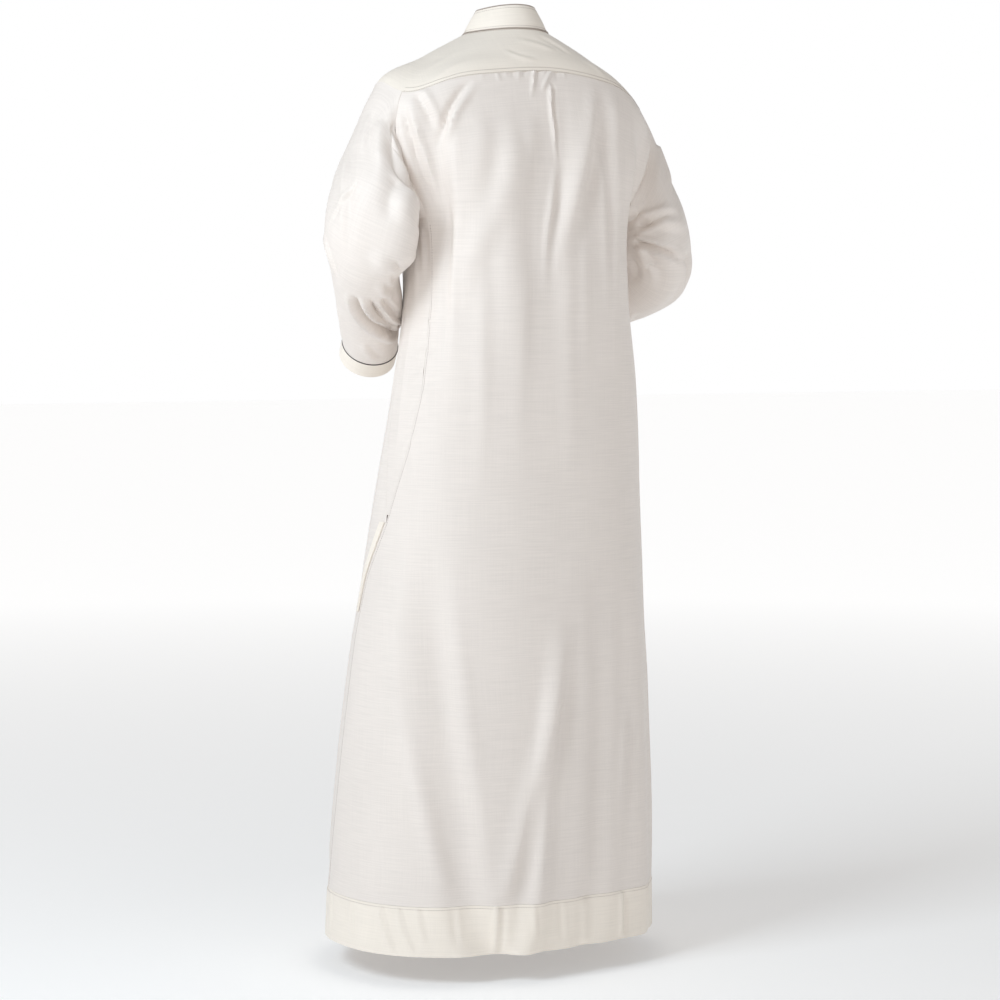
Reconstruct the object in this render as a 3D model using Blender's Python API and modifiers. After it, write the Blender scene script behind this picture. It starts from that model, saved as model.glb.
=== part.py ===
"""Long robe (thobe): cloth walls that keep the hollow shape they have when worn.

The wearer faces -Y, the wearer's left is +X and the origin is the middle of the neck seam.
The body cloth is one surface, read at a polar angle (degrees, 0 = wearer's left, 90 = back,
270 = front) and a level (a row of BODY_SECTIONS, or a value between two rows). The seams are
lines on it, and each panel is the stretch of it between its seams.
"""

import math

import bmesh
import bpy
from mathutils import Vector

# Cloth, metres
SINGLE_CLOTH = 0.0015
DOUBLE_CLOTH = 0.0024
COLLAR_CLOTH = 0.0030
SEAM_GAP = 0.0003

# Levels of the body where pieces end
NECK = 0.0
YOKE_EDGE = 2.0
UNDERARM = 4.0
GUSSET_TIP = 7.0
HEM_SEAM = 10.0
HEM = 11.0

# Sections of the body from the neck to the hem: half width, depth behind and before the
# section's centre, the centre's Y, how square its back and its front are, its height at the
# back, sides and front, how far it dips behind the shoulder, and how much lower the right
# shoulder hangs.
SECTION_COLUMNS = ("half_width", "back", "front", "centre_y", "back_square", "front_square",
                   "back_z", "side_z", "front_z", "dip", "right_drop")
BODY_SECTIONS = [
    (0.066, 0.072, 0.072, 0.000, 2.0, 2.0, 0.004, 0.000, -0.045, 0.000, 0.000),   # neck seam
    (0.145, 0.100, 0.094, 0.004, 2.3, 2.2, -0.028, -0.040, -0.085, 0.005, 0.006),
    (0.224, 0.122, 0.108, 0.008, 2.6, 2.4, -0.066, -0.083, -0.130, 0.020, 0.014),  # yoke seam
    (0.230, 0.138, 0.124, 0.014, 2.7, 2.4, -0.165, -0.185, -0.205, 0.006, 0.010),
    (0.184, 0.144, 0.134, 0.018, 2.9, 2.3, -0.290, -0.290, -0.290, 0.000, 0.000),  # underarm
    (0.178, 0.144, 0.136, 0.022, 2.9, 2.0, -0.410, -0.410, -0.410, 0.000, 0.000),
    (0.200, 0.142, 0.134, 0.024, 2.6, 2.0, -0.550, -0.550, -0.550, 0.000, 0.000),  # waist
    (0.221, 0.156, 0.156, 0.006, 2.4, 2.2, -0.745, -0.745, -0.745, 0.000, 0.000),  # pocket
    (0.240, 0.176, 0.174, -0.014, 2.3, 2.2, -0.940, -0.940, -0.940, 0.000, 0.000),
    (0.255, 0.193, 0.191, -0.032, 2.3, 2.2, -1.140, -1.140, -1.140, 0.000, 0.000),
    (0.268, 0.206, 0.204, -0.045, 2.3, 2.2, -1.343, -1.343, -1.343, 0.000, 0.000),  # hem seam
    (0.271, 0.209, 0.207, -0.048, 2.3, 2.2, -1.420, -1.420, -1.420, 0.000, 0.000),  # hem
]

# The dip behind the shoulder is widest a little behind the side; DIP_SCALE makes its peak 1
DIP_POWER = 20
DIP_SCALE = 28.5

# Side lines at a level, degrees from the wearer's side towards the back (+) or front (-):
# down to UNDERARM they edge the armhole, then the side gusset, and below its tip they are
# the one side seam.
SIDE_LINE_COLUMNS = ("level", "back", "front")
SIDE_LINES = [
    (2.0, 14.0, -16.0),
    (2.7, 13.0, -16.5),
    (3.4, 14.0, -16.0),
    (4.0, 17.0, -9.0),
    (5.0, 17.5, -6.5),
    (6.0, 17.0, -5.5),
    (6.5, 12.5, -3.0),
    (7.0, 5.0, 3.8),
    (7.06, 4.2, 4.2),
    (7.5, -6.0, -6.0),
    (8.0, -12.0, -12.0),
    (11.0, -16.0, -16.0),
]

# The yoke's front seam, from the neck to the front corner of the armhole
YOKE_FRONT_AT_NECK = -42.0

# Largest folds of the body: angle at the top and bottom, levels where the fold starts, is
# full, is still full and has gone, its half width in degrees, and its depth (+ is a ridge).
FOLD_COLUMNS = ("top_angle", "end_angle", "start", "full", "still", "gone", "half_width", "depth")
BODY_FOLDS = [
    (27.0, 25.0, 2.2, 3.2, 3.9, 4.8, 11.0, -0.018),    # between back and left arm
    (153.0, 155.0, 2.2, 3.2, 3.9, 4.8, 11.0, -0.014),  # between back and right arm
    (-27.0, -26.0, 2.4, 3.2, 3.9, 4.6, 11.0, -0.014),  # between front and left arm
    (207.0, 206.0, 2.4, 3.2, 3.9, 4.6, 11.0, -0.014),  # between front and right arm
    (112.0, 92.0, 2.2, 3.4, 4.0, 5.6, 12.0, 0.006),    # broad ridge of the right back
    (64.0, 58.0, 2.6, 3.6, 4.6, 6.4, 13.0, 0.006),     # broad ridge of the left back
    (24.0, 66.0, 7.0, 8.2, 11.0, 11.5, 12.0, -0.014),  # trough of the left skirt
    (92.0, 73.0, 7.6, 9.2, 11.0, 11.5, 9.0, 0.012),    # ridge of the middle skirt
    (118.0, 104.0, 7.2, 9.0, 11.0, 11.5, 11.0, -0.008),
    (142.0, 134.0, 7.0, 8.6, 11.0, 11.5, 12.0, 0.010),
    (-32.0, -40.0, 7.4, 9.0, 11.0, 11.5, 12.0, 0.010),
    (-62.0, -66.0, 7.0, 8.6, 11.0, 11.5, 12.0, -0.012),
    (248.0, 244.0, 7.0, 8.8, 11.0, 11.5, 13.0, 0.010),
    (222.0, 216.0, 7.4, 9.0, 11.0, 11.5, 11.0, -0.010),
]

# Rings of each sleeve from under the shoulder to the wrist: the ring's outermost and
# innermost points, and its half size towards the back.
SLEEVE_COLUMNS = ("outer_x", "outer_y", "outer_z", "inner_x", "inner_y", "inner_z", "back")
SLEEVES = {
    "left": [
        (0.246, 0.004, -0.130, 0.196, 0.020, -0.292, 0.078),
        (0.271, 0.006, -0.180, 0.195, 0.022, -0.300, 0.084),
        (0.296, 0.010, -0.232, 0.193, 0.024, -0.310, 0.087),
        (0.310, 0.008, -0.285, 0.192, 0.018, -0.326, 0.083),
        (0.305, -0.008, -0.338, 0.190, 0.004, -0.346, 0.074),   # elbow
        (0.272, -0.056, -0.386, 0.182, -0.012, -0.382, 0.060),
        (0.246, -0.092, -0.424, 0.162, -0.047, -0.424, 0.052),
        (0.225, -0.122, -0.452, 0.147, -0.080, -0.466, 0.046),
        (0.210, -0.144, -0.472, 0.137, -0.104, -0.494, 0.042),  # wrist
    ],
    "right": [
        (-0.244, 0.004, -0.146, -0.196, 0.020, -0.297, 0.078),
        (-0.268, 0.004, -0.204, -0.196, 0.020, -0.307, 0.084),
        (-0.298, 0.004, -0.262, -0.198, 0.020, -0.322, 0.086),
        (-0.322, 0.000, -0.318, -0.208, 0.014, -0.346, 0.080),
        (-0.332, -0.020, -0.368, -0.220, 0.006, -0.364, 0.068),  # elbow
        (-0.288, -0.092, -0.406, -0.208, -0.030, -0.396, 0.054),
        (-0.244, -0.132, -0.440, -0.170, -0.072, -0.432, 0.050),
        (-0.206, -0.168, -0.473, -0.136, -0.112, -0.466, 0.046),
        (-0.179, -0.193, -0.492, -0.113, -0.141, -0.486, 0.042),  # wrist
    ],
}
SLEEVE_RINGS_PER_ROW = 1.5
SEAM_RING_SHARE = 0.35
SEAM_RING_PUSH = 0.007

# Armhole rims: the least cosine a mitre is stretched by, and how near a point of the body
# cloth lies to a point of the armhole to share its mitre
MITRE_LIMIT = 0.6
NEAR_ANGLE = 0.3
NEAR_LEVEL = 0.02

# Largest folds of the sleeves: the turn round the ring at the top and bottom (degrees, 0 =
# outer side, 90 = back, 180 = inner side), the rows where the fold starts, is full, is still
# full and has gone, its half width in degrees, and its depth (+ is a ridge).
SLEEVE_FOLDS = {
    "left": [
        (118.0, 132.0, 0.6, 2.4, 3.2, 4.3, 62.0, 0.024),   # fullness behind the arm
        (228.0, 236.0, 3.6, 4.6, 5.0, 6.2, 34.0, -0.008),  # crook of the elbow
        (150.0, 168.0, 4.6, 5.4, 5.8, 7.0, 34.0, 0.007),
    ],
    "right": [
        (112.0, 124.0, 0.6, 2.4, 3.2, 4.3, 60.0, 0.014),   # fullness behind the arm
        (228.0, 236.0, 3.6, 4.6, 5.0, 6.2, 34.0, -0.008),  # crook of the elbow
        (70.0, 84.0, 2.6, 3.4, 3.8, 4.8, 30.0, -0.007),
    ],
}
CUFF_LENGTH = 0.030

# Mesh counts
BACK_COLUMNS = 16
SHOULDER_COLUMNS = 4
NECK_COLUMNS = 3
PLACKET_COLUMNS = 2
GUSSET_COLUMNS = 3
YOKE_ROWS = 4
ARMHOLE_ROWS = 6
PANEL_LEVELS = [4.33, 4.67, 5.0, 5.35, 5.7, 6.0, 6.3, 6.65, 7.0, 7.06, 7.4, 7.8, 8.3, 8.8, 9.4, 10.0]

# Collar, piping, placket, buttons and pocket
COLLAR_HEIGHT = {"back": 0.037, "front": 0.033}
COLLAR_LEAN = 0.018
COLLAR_ROWS = (0.0, 0.35, 0.7, 1.0)
COLLAR_TAB_START = 0.14
PIPING_RADIUS = 0.0010
PLACKET_WIDTH = 0.036
PLACKET_END = 6.0
BUTTON_RADIUS = 0.0058
BUTTON_HEIGHT = 0.0026
BUTTON_ROWS = (2, 5, 8, 11)
POCKET_LEVELS = (7.06, 7.4, 7.8)
POCKET_INSET = 1.0
POCKET_WIDTH = 3.6
WELT_LIFT = 0.0014    # clears the flat facets of the panel under it

COLOURS = {
    "single_cloth": ((0.80, 0.76, 0.73), 0.55),
    "double_cloth": ((0.86, 0.80, 0.73), 0.55),
    "collar_piping": ((0.36, 0.30, 0.27), 0.50),
    "cuff_piping": ((0.045, 0.030, 0.035), 0.50),
    "button": ((0.88, 0.86, 0.82), 0.30),
}


def column_value(rows, columns, name, place):
    """A column of a table at a place between two of its rows, on a smooth curve."""
    at = columns.index(name)
    first = min(max(int(math.floor(place)), 0), len(rows) - 2)
    t = place - first
    before = rows[max(first - 1, 0)][at]
    start = rows[first][at]
    end = rows[first + 1][at]
    after = rows[min(first + 2, len(rows) - 1)][at]
    slope_start = (end - before) / 2
    slope_end = (after - start) / 2
    rise = end - start
    return start + t * (slope_start + t * (3 * rise - 2 * slope_start - slope_end
                                           + t * (slope_start + slope_end - 2 * rise)))


def side_line(name, level):
    """Angle of a side line at a level, straight between the rows of SIDE_LINES."""
    at = SIDE_LINE_COLUMNS.index(name)
    for upper, lower in zip(SIDE_LINES, SIDE_LINES[1:]):
        if level <= lower[0]:
            share = max(level - upper[0], 0.0) / (lower[0] - upper[0])
            return upper[at] + share * (lower[at] - upper[at])
    return SIDE_LINES[-1][at]


def smooth(share):
    share = min(max(share, 0.0), 1.0)
    return share * share * (3 - 2 * share)


def mix(start, end, share):
    return start + (end - start) * share


def fold_depth(folds, angle, place):
    """How far a table of folds moves cloth out at an angle and a level, or row."""
    depth = 0.0
    for row in folds:
        fold = dict(zip(FOLD_COLUMNS, row))
        share = (place - fold["start"]) / (fold["gone"] - fold["start"])
        middle = mix(fold["top_angle"], fold["end_angle"], min(max(share, 0.0), 1.0))
        across = ((angle - middle + 180) % 360 - 180) / fold["half_width"]
        if abs(across) < 1:
            along = (smooth((place - fold["start"]) / (fold["full"] - fold["start"]))
                     * smooth((fold["gone"] - place) / (fold["gone"] - fold["still"])))
            depth += fold["depth"] * along * (0.5 + 0.5 * math.cos(math.pi * across))
    return depth


def body_point(angle, level):
    """The body cloth's outer face at an angle and a level."""
    section = {name: column_value(BODY_SECTIONS, SECTION_COLUMNS, name, level)
               for name in SECTION_COLUMNS}
    cosine = math.cos(math.radians(angle))
    sine = math.sin(math.radians(angle))
    behind = sine >= 0
    depth = section["back"] if behind else section["front"]
    power = section["back_square"] if behind else section["front_square"]
    radius = (abs(cosine / section["half_width"]) ** power
              + abs(sine / depth) ** power) ** (-1 / power)
    radius += fold_depth(BODY_FOLDS, angle, level)
    end_z = section["back_z"] if behind else section["front_z"]
    z = section["side_z"] * cosine ** 2 + end_z * sine ** 2
    z -= section["dip"] * DIP_SCALE * cosine ** DIP_POWER * sine ** 2
    if cosine < 0:
        z -= section["right_drop"] * cosine ** 4
    return Vector((radius * cosine, section["centre_y"] + radius * sine, z))


def body_inward(angle, level):
    """The direction from the outer face of the body cloth to its inner face."""
    step = 0.01
    around = body_point(angle + 1, level) - body_point(angle - 1, level)
    down = body_point(angle, min(level + step, HEM)) - body_point(angle, max(level - step, NECK))
    return around.cross(down).normalized()


def on_side(side, offset):
    """Angle of an offset from the wearer's left or right side."""
    return offset if side == "left" else 180 - offset


def half_gap(level):
    """Half a seam gap at a side line, as an angle."""
    half_width = column_value(BODY_SECTIONS, SECTION_COLUMNS, "half_width", level)
    return math.degrees(SEAM_GAP / 2 / half_width)


def level_gap(level):
    """A seam gap down the body, as a difference of levels."""
    step = 0.02
    return SEAM_GAP * step / (body_point(90, level + step) - body_point(90, level)).length


def armhole(side):
    """Angle and level of the points round an armhole, from its top front corner backwards."""
    back = [(side_line("back", level), level) for level in armhole_levels()]
    front = [(side_line("front", level), level) for level in armhole_levels()]
    top = [(mix(front[0][0], back[0][0], step / SHOULDER_COLUMNS), YOKE_EDGE)
           for step in range(SHOULDER_COLUMNS + 1)]
    under = [(mix(back[-1][0], front[-1][0], step / GUSSET_COLUMNS), UNDERARM)
             for step in range(1, GUSSET_COLUMNS)]
    loop = top + back[1:] + under + front[:0:-1]
    return [(on_side(side, offset), level) for offset, level in loop]


def armhole_levels():
    return [mix(YOKE_EDGE, UNDERARM, row / ARMHOLE_ROWS) for row in range(ARMHOLE_ROWS + 1)]


def sleeve_line(side, line, place):
    """A point of a sleeve's outer or inner line at a place of its table."""
    return Vector([column_value(SLEEVES[side], SLEEVE_COLUMNS, line + axis, place)
                   for axis in ("_x", "_y", "_z")])


def sleeve_frame(side, place):
    """A ring's middle, its half sizes outwards and backwards, and the direction of the sleeve."""
    step = 0.05
    last = len(SLEEVES[side]) - 1.0
    before, at, after = (
        (sleeve_line(side, "outer", near) + sleeve_line(side, "inner", near)) / 2
        for near in (max(place - step, 0.0), place, min(place + step, last)))
    outward = (sleeve_line(side, "outer", place) - sleeve_line(side, "inner", place)) / 2
    along = after - before
    along = (along - outward * along.dot(outward) / outward.length_squared).normalized()
    sign = 1 if side == "left" else -1
    backward = outward.normalized().cross(along) * sign
    depth = column_value(SLEEVES[side], SLEEVE_COLUMNS, "back", place)
    return at, outward, backward * depth, along


def sleeve_rings(side):
    """Outer points of a sleeve, ring by ring, from the armhole to the cuff."""
    rows = SLEEVES[side]
    start = [body_point(angle, level) for angle, level in armhole(side)]
    middle, outward, backward, _ = sleeve_frame(side, 0.0)
    turns = [math.atan2((point - middle).dot(backward) / backward.length_squared,
                        (point - middle).dot(outward) / outward.length_squared) for point in start]
    count = round((len(rows) - 1) * SLEEVE_RINGS_PER_ROW)
    first = sleeve_ring(side, 0.0, turns)
    push = Vector((SEAM_RING_PUSH if side == "left" else -SEAM_RING_PUSH, 0.0, 0.0))
    rings = [start, [point.lerp(after, SEAM_RING_SHARE) + push for point, after in zip(start, first)]]
    for ring in range(count + 1):
        place = (len(rows) - 1) * ring / count
        rings.append(sleeve_ring(side, place, turns))
    shifted = []
    for point, after in zip(rings[0], rings[1]):
        shifted.append(point + (after - point).normalized() * SEAM_GAP)
    rings[0] = shifted
    return rings, turns


def sleeve_ring(side, place, turns, longer=0.0):
    """One ring of a sleeve at a place of its table, or beyond it by a length."""
    middle, outward, backward, along = sleeve_frame(side, place)
    ring = []
    for turn in turns:
        radius = outward * math.cos(turn) + backward * math.sin(turn)
        radius += radius.normalized() * fold_depth(SLEEVE_FOLDS[side], math.degrees(turn), place)
        ring.append(middle + along * longer + radius)
    return ring


def tube_inner(rings, thickness):
    """The inner face of a tube of rings."""
    inner = []
    for row, ring in enumerate(rings):
        above = rings[max(row - 1, 0)]
        below = rings[min(row + 1, len(rings) - 1)]
        middle = sum(ring, Vector()) / len(ring)
        inner_ring = []
        for at, point in enumerate(ring):
            around = ring[(at + 1) % len(ring)] - ring[at - 1]
            inward = around.cross(below[at] - above[at]).normalized()
            if inward.dot(middle - point) < 0:
                inward.negate()
            inner_ring.append(point + inward * thickness)
        inner.append(inner_ring)
    return inner


def armhole_mitres():
    """At each point of an armhole, the shared direction of the rims of body and sleeve."""
    mitres = []
    for side in SLEEVES:
        rings, _ = sleeve_rings(side)
        inner = tube_inner(rings, 1.0)
        for at, (angle, level) in enumerate(armhole(side)):
            body = body_inward(angle, level)
            sleeve = inner[0][at] - rings[0][at]
            half_turn = body.angle(sleeve) / 2
            mitre = (body + sleeve).normalized() / max(math.cos(half_turn), MITRE_LIMIT)
            mitres.append((angle, level, mitre))
    return mitres


def inner_point(angle, level, thickness, mitres):
    """The body cloth's inner face below its outer face at an angle and a level."""
    inward = body_inward(angle, level)
    for mitre_angle, mitre_level, mitre in mitres:
        if abs(angle - mitre_angle) < NEAR_ANGLE and abs(level - mitre_level) < NEAR_LEVEL:
            inward = mitre
    return body_point(angle, level) + inward * thickness


def add_material(name):
    colour, roughness = COLOURS[name]
    material = bpy.data.materials.new(name)
    material.use_nodes = True
    shader = material.node_tree.nodes["Principled BSDF"]
    shader.inputs["Base Color"].default_value = (*colour, 1.0)
    shader.inputs["Roughness"].default_value = roughness
    shader.inputs["Metallic"].default_value = 0.0
    return material


def add_object(name, data, material, collection):
    piece = bpy.data.objects.new(name, data)
    piece.data.materials.append(material)
    collection.objects.link(piece)
    return piece


def add_wall(name, outer, inner, material, collection, around=False):
    """A closed piece of cloth lofted between an outer and an inner grid of points."""
    mesh = bmesh.new()
    skins = [[[mesh.verts.new(point) for point in row] for row in grid] for grid in (outer, inner)]
    rows = len(outer)
    columns = len(outer[0])
    last = columns if around else columns - 1

    def add_cell(first, second, third, fourth):
        mesh.faces.new((first, second, third))
        mesh.faces.new((first, third, fourth))

    for skin in skins:
        for row in range(rows - 1):
            for column in range(last):
                beside = (column + 1) % columns
                add_cell(skin[row][column], skin[row + 1][column],
                         skin[row + 1][beside], skin[row][beside])
    for row in (0, rows - 1):
        for column in range(last):
            beside = (column + 1) % columns
            add_cell(skins[0][row][column], skins[0][row][beside],
                     skins[1][row][beside], skins[1][row][column])
    if not around:
        for column in (0, columns - 1):
            for row in range(rows - 1):
                add_cell(skins[0][row][column], skins[0][row + 1][column],
                         skins[1][row + 1][column], skins[1][row][column])
    bmesh.ops.recalc_face_normals(mesh, faces=mesh.faces)
    data = bpy.data.meshes.new(name)
    mesh.to_mesh(data)
    mesh.free()
    data.shade_smooth()
    data.set_sharp_from_angle(angle=math.radians(50))
    return add_object(name, data, material, collection)


def add_body_piece(name, places, thickness, mitres, material, collection, around=False):
    """A piece of the body cloth from a grid of angles and levels."""
    outer = [[body_point(angle, level) for angle, level in row] for row in places]
    inner = [[inner_point(angle, level, thickness, mitres) for angle, level in row] for row in places]
    return add_wall(name, outer, inner, material, collection, around)


def add_overlay(name, places, thickness, lift, material, collection):
    """A strip that lies on the body cloth, made from the cloth's own points moved out."""
    low, high = ([[body_point(angle, level) - body_inward(angle, level) * height
                   for angle, level in row] for row in places]
                 for height in (lift, lift + thickness))
    return add_wall(name, high, low, material, collection)


def add_piping(name, points, material, collection, closed=False):
    """A thin round cord through a row of points."""
    curve = bpy.data.curves.new(name, "CURVE")
    curve.dimensions = "3D"
    curve.bevel_depth = PIPING_RADIUS
    curve.bevel_resolution = 1
    curve.use_fill_caps = not closed
    spline = curve.splines.new("POLY")
    spline.points.add(len(points) - 1)
    for at, point in zip(spline.points, points):
        at.co = (*point, 1.0)
    spline.use_cyclic_u = closed
    return add_object(name, curve, material, collection)


def back_places():
    """The back panel, from the yoke seam to the hem seam."""
    grid = []
    levels = armhole_levels() + PANEL_LEVELS
    for level in levels:
        edge = side_line("back", level)
        if level >= UNDERARM:
            edge += half_gap(level)
        at = level
        if level == YOKE_EDGE:
            at += level_gap(level)
        if level == HEM_SEAM:
            at -= level_gap(level)
        grid.append([(mix(edge, 180 - edge, column / BACK_COLUMNS), at)
                     for column in range(BACK_COLUMNS + 1)])
    return grid


def placket_half_angle(level):
    """Half the placket's width at a level, as an angle at the section's centre."""
    front = column_value(BODY_SECTIONS, SECTION_COLUMNS, "front", level)
    return math.degrees(math.atan(PLACKET_WIDTH / 2 / front))


def yoke_front_line(level):
    """Angle of the yoke's front seam at a level."""
    return mix(YOKE_FRONT_AT_NECK, side_line("front", YOKE_EDGE), level / YOKE_EDGE)


def front_columns(level):
    """Angles of the front panel's columns at a level, from the right side to the left."""
    edge = side_line("front", max(level, YOKE_EDGE))
    if level >= UNDERARM:
        edge -= half_gap(level)
    strip = placket_half_angle(level)
    side_columns = SHOULDER_COLUMNS + NECK_COLUMNS
    left = [mix(-90 + strip, edge, step / side_columns) for step in range(side_columns + 1)]
    middle = [mix(-90 - strip, -90 + strip, step / PLACKET_COLUMNS) for step in range(1, PLACKET_COLUMNS)]
    right = [-180 - angle for angle in reversed(left)]
    return right + middle + left


def front_top(column_count):
    """Angle and level at the top of each column of the front panel."""
    strip = placket_half_angle(NECK)
    left = []
    neck_corner = YOKE_FRONT_AT_NECK - half_gap(NECK) * 2
    for step in range(NECK_COLUMNS + 1):
        left.append((mix(-90 + strip, neck_corner, step / NECK_COLUMNS), NECK))
    for step in range(1, SHOULDER_COLUMNS + 1):
        level = YOKE_EDGE * step / SHOULDER_COLUMNS
        gap = half_gap(level) * 2 if step < SHOULDER_COLUMNS else 0.0
        left.append((yoke_front_line(level) - gap, level))
    right = [(-180 - angle, level) for angle, level in reversed(left)]
    middle_count = column_count - 2 * len(left)
    middle = [(mix(-90 - strip, -90 + strip, (step + 1) / (middle_count + 1)), NECK)
              for step in range(middle_count)]
    return right + middle + left


def front_places():
    """The front panel, from the neck and the yoke's front seams to the hem seam."""
    count = len(front_columns(YOKE_EDGE))
    top = front_top(count)
    top[0] = (top[0][0], YOKE_EDGE + level_gap(YOKE_EDGE))
    top[-1] = (top[-1][0], YOKE_EDGE + level_gap(YOKE_EDGE))
    grid = []
    for row in range(ARMHOLE_ROWS + 1):
        share = row / ARMHOLE_ROWS
        places = []
        for column, (top_angle, top_level) in enumerate(top):
            level = mix(top_level, UNDERARM, share)
            if column in (0, count - 1) and row:
                level = armhole_levels()[row]
            shift = top_angle - front_columns(top_level)[column]
            places.append((front_columns(level)[column] + shift * (1 - share) ** 1.5, level))
        grid.append(places)
    for level in PANEL_LEVELS:
        at = level - level_gap(level) if level == HEM_SEAM else level
        grid.append([(angle, at) for angle in front_columns(level)])
    return grid


def yoke_places():
    """The yoke over both shoulders, from the neck seam out to its edge."""
    corner = side_line("back", YOKE_EDGE)
    left_top = [angle for angle, level in armhole("left")[:SHOULDER_COLUMNS]]
    edge = left_top + [mix(corner, 180 - corner, column / BACK_COLUMNS)
                       for column in range(BACK_COLUMNS + 1)]
    edge += [180 - angle for angle in reversed(left_top)]
    last = len(edge) - 1
    grid = []
    for row in range(YOKE_ROWS + 1):
        share = row / YOKE_ROWS
        grid.append([(mix(mix(YOKE_FRONT_AT_NECK, 180 - YOKE_FRONT_AT_NECK, column / last),
                          angle, share), YOKE_EDGE * share)
                     for column, angle in enumerate(edge)])
    return grid


def gusset_places(side):
    """The tapered side piece under an arm."""
    levels = [UNDERARM] + [level for level in PANEL_LEVELS if level <= GUSSET_TIP]
    grid = []
    for level in levels:
        back = side_line("back", level) - half_gap(level)
        front = side_line("front", level) + half_gap(level)
        grid.append([(on_side(side, mix(back, front, step / GUSSET_COLUMNS)), level)
                     for step in range(GUSSET_COLUMNS + 1)])
    return grid


def hem_places():
    """The hem band, all round below the panels."""
    back = [angle for angle, _ in back_places()[-1]]
    front = [angle + 360 for angle, _ in front_places()[-1]]
    angles = back + front[1:-1]
    return [[(angle, level) for angle in angles] for level in (HEM_SEAM, mix(HEM_SEAM, HEM, 0.5), HEM)]


def collar_angles():
    """Angles round the neck seam, from one front end of the collar to the other."""
    front = [angle for angle, level in front_top(len(front_columns(NECK))) if level == NECK]
    middle = len(front) // 2
    yoke = [angle for angle, _ in yoke_places()[0]]
    end_gap = math.degrees(SEAM_GAP / BODY_SECTIONS[0][SECTION_COLUMNS.index("front")])
    left = [-90 + end_gap] + front[middle + 1:]
    right = [angle + 360 for angle in front[:middle]] + [270 - end_gap]
    return left + yoke[1:-1] + right


def collar_point(angle, share, depth=0.0):
    """The collar at an angle and a share of its height, in from its outer face by a depth."""
    base = body_point(angle, NECK)
    inward = Vector((-base.x, -base.y, 0.0)).normalized()
    frontness = 0.5 - 0.5 * math.sin(math.radians(angle))
    height = mix(COLLAR_HEIGHT["back"], COLLAR_HEIGHT["front"], frontness)
    lean = COLLAR_LEAN * share ** 1.15
    return base + Vector((0, 0, SEAM_GAP + height * share)) + inward * (lean + depth)


def add_collar(materials, collection):
    angles = collar_angles()
    outer, inner = ([[collar_point(angle, share, depth) for angle in angles] for share in COLLAR_ROWS]
                    for depth in (0.0, COLLAR_CLOTH))
    add_wall("collar_band", outer, inner, materials["double_cloth"], collection)
    rise = Vector((0, 0, PIPING_RADIUS + SEAM_GAP * 2))
    top = [collar_point(angle, 1.0, COLLAR_CLOTH / 2) + rise for angle in angles]
    add_piping("collar_top_piping", top, materials["collar_piping"], collection)
    base = []
    for angle in angles[2:-2]:
        point = body_point(angle, NECK)
        outward = Vector((point.x, point.y, 0.0)).normalized()
        upward = -body_inward(angle, NECK)
        base.append(point + (outward * 0.75 + upward).normalized() * (PIPING_RADIUS * 1.75))
    add_piping("collar_base_piping", base, materials["collar_piping"], collection)
    add_collar_tab(angles, materials, collection)


def add_collar_tab(angles, materials, collection):
    """The buttoned end of the collar, lying over its front opening."""
    across = [angles[-2] - 360, -90, angles[1]]
    shares = [COLLAR_TAB_START, *COLLAR_ROWS[1:-1], 1.0]
    low, high = ([[collar_point(angle, share, -lift) for angle in across] for share in shares]
                 for lift in (SEAM_GAP * 2, SEAM_GAP * 2 + DOUBLE_CLOTH))
    add_wall("collar_tab", high, low, materials["double_cloth"], collection)
    share = (COLLAR_TAB_START + 1) / 2
    face = collar_point(-90, share, -SEAM_GAP * 3 - DOUBLE_CLOTH)
    rise = collar_point(-90, share + 0.1) - collar_point(-90, share - 0.1)
    outward = Vector((1, 0, 0)).cross(rise).normalized()
    add_button("button_1", face, outward, materials["button"], collection)


def add_sleeve(side, mitres, materials, collection):
    rings, turns = sleeve_rings(side)
    inner = tube_inner(rings, SINGLE_CLOTH)
    for at, (angle, level) in enumerate(armhole(side)):
        direction = next(mitre for mitre_angle, mitre_level, mitre in mitres
                         if mitre_angle == angle and mitre_level == level)
        inner[0][at] = rings[0][at] + direction * SINGLE_CLOTH
    add_wall("sleeve_" + side, rings, inner, materials["single_cloth"], collection, around=True)
    wrist = len(SLEEVES[side]) - 1.0
    lengths = (SEAM_GAP, CUFF_LENGTH / 2, CUFF_LENGTH)
    cuff = [sleeve_ring(side, wrist, turns, length) for length in lengths]
    add_wall("cuff_" + side, cuff, tube_inner(cuff, DOUBLE_CLOTH), materials["double_cloth"],
             collection, around=True)
    middle = sleeve_frame(side, wrist)[0]
    piping = [point + (point - middle).normalized() * (PIPING_RADIUS + SEAM_GAP * 2)
              for point in sleeve_ring(side, wrist, turns)]
    add_piping("cuff_piping_" + side, piping, materials["cuff_piping"], collection, closed=True)


def add_button(name, base, outward, material, collection):
    """A flat round button that stands on a point of the cloth."""
    bpy.ops.mesh.primitive_cylinder_add(vertices=16, radius=BUTTON_RADIUS, depth=BUTTON_HEIGHT,
                                        location=base + outward * (BUTTON_HEIGHT / 2))
    button = bpy.context.object
    button.name = name
    button.data.name = name
    button.rotation_euler = outward.to_track_quat("Z", "Y").to_euler()
    rounding = button.modifiers.new("rounded rim", "BEVEL")
    rounding.width = BUTTON_HEIGHT / 4
    rounding.segments = 1
    rounding.limit_method = "ANGLE"
    button.data.materials.append(material)
    for holder in list(button.users_collection):
        holder.objects.unlink(button)
    collection.objects.link(button)


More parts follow.
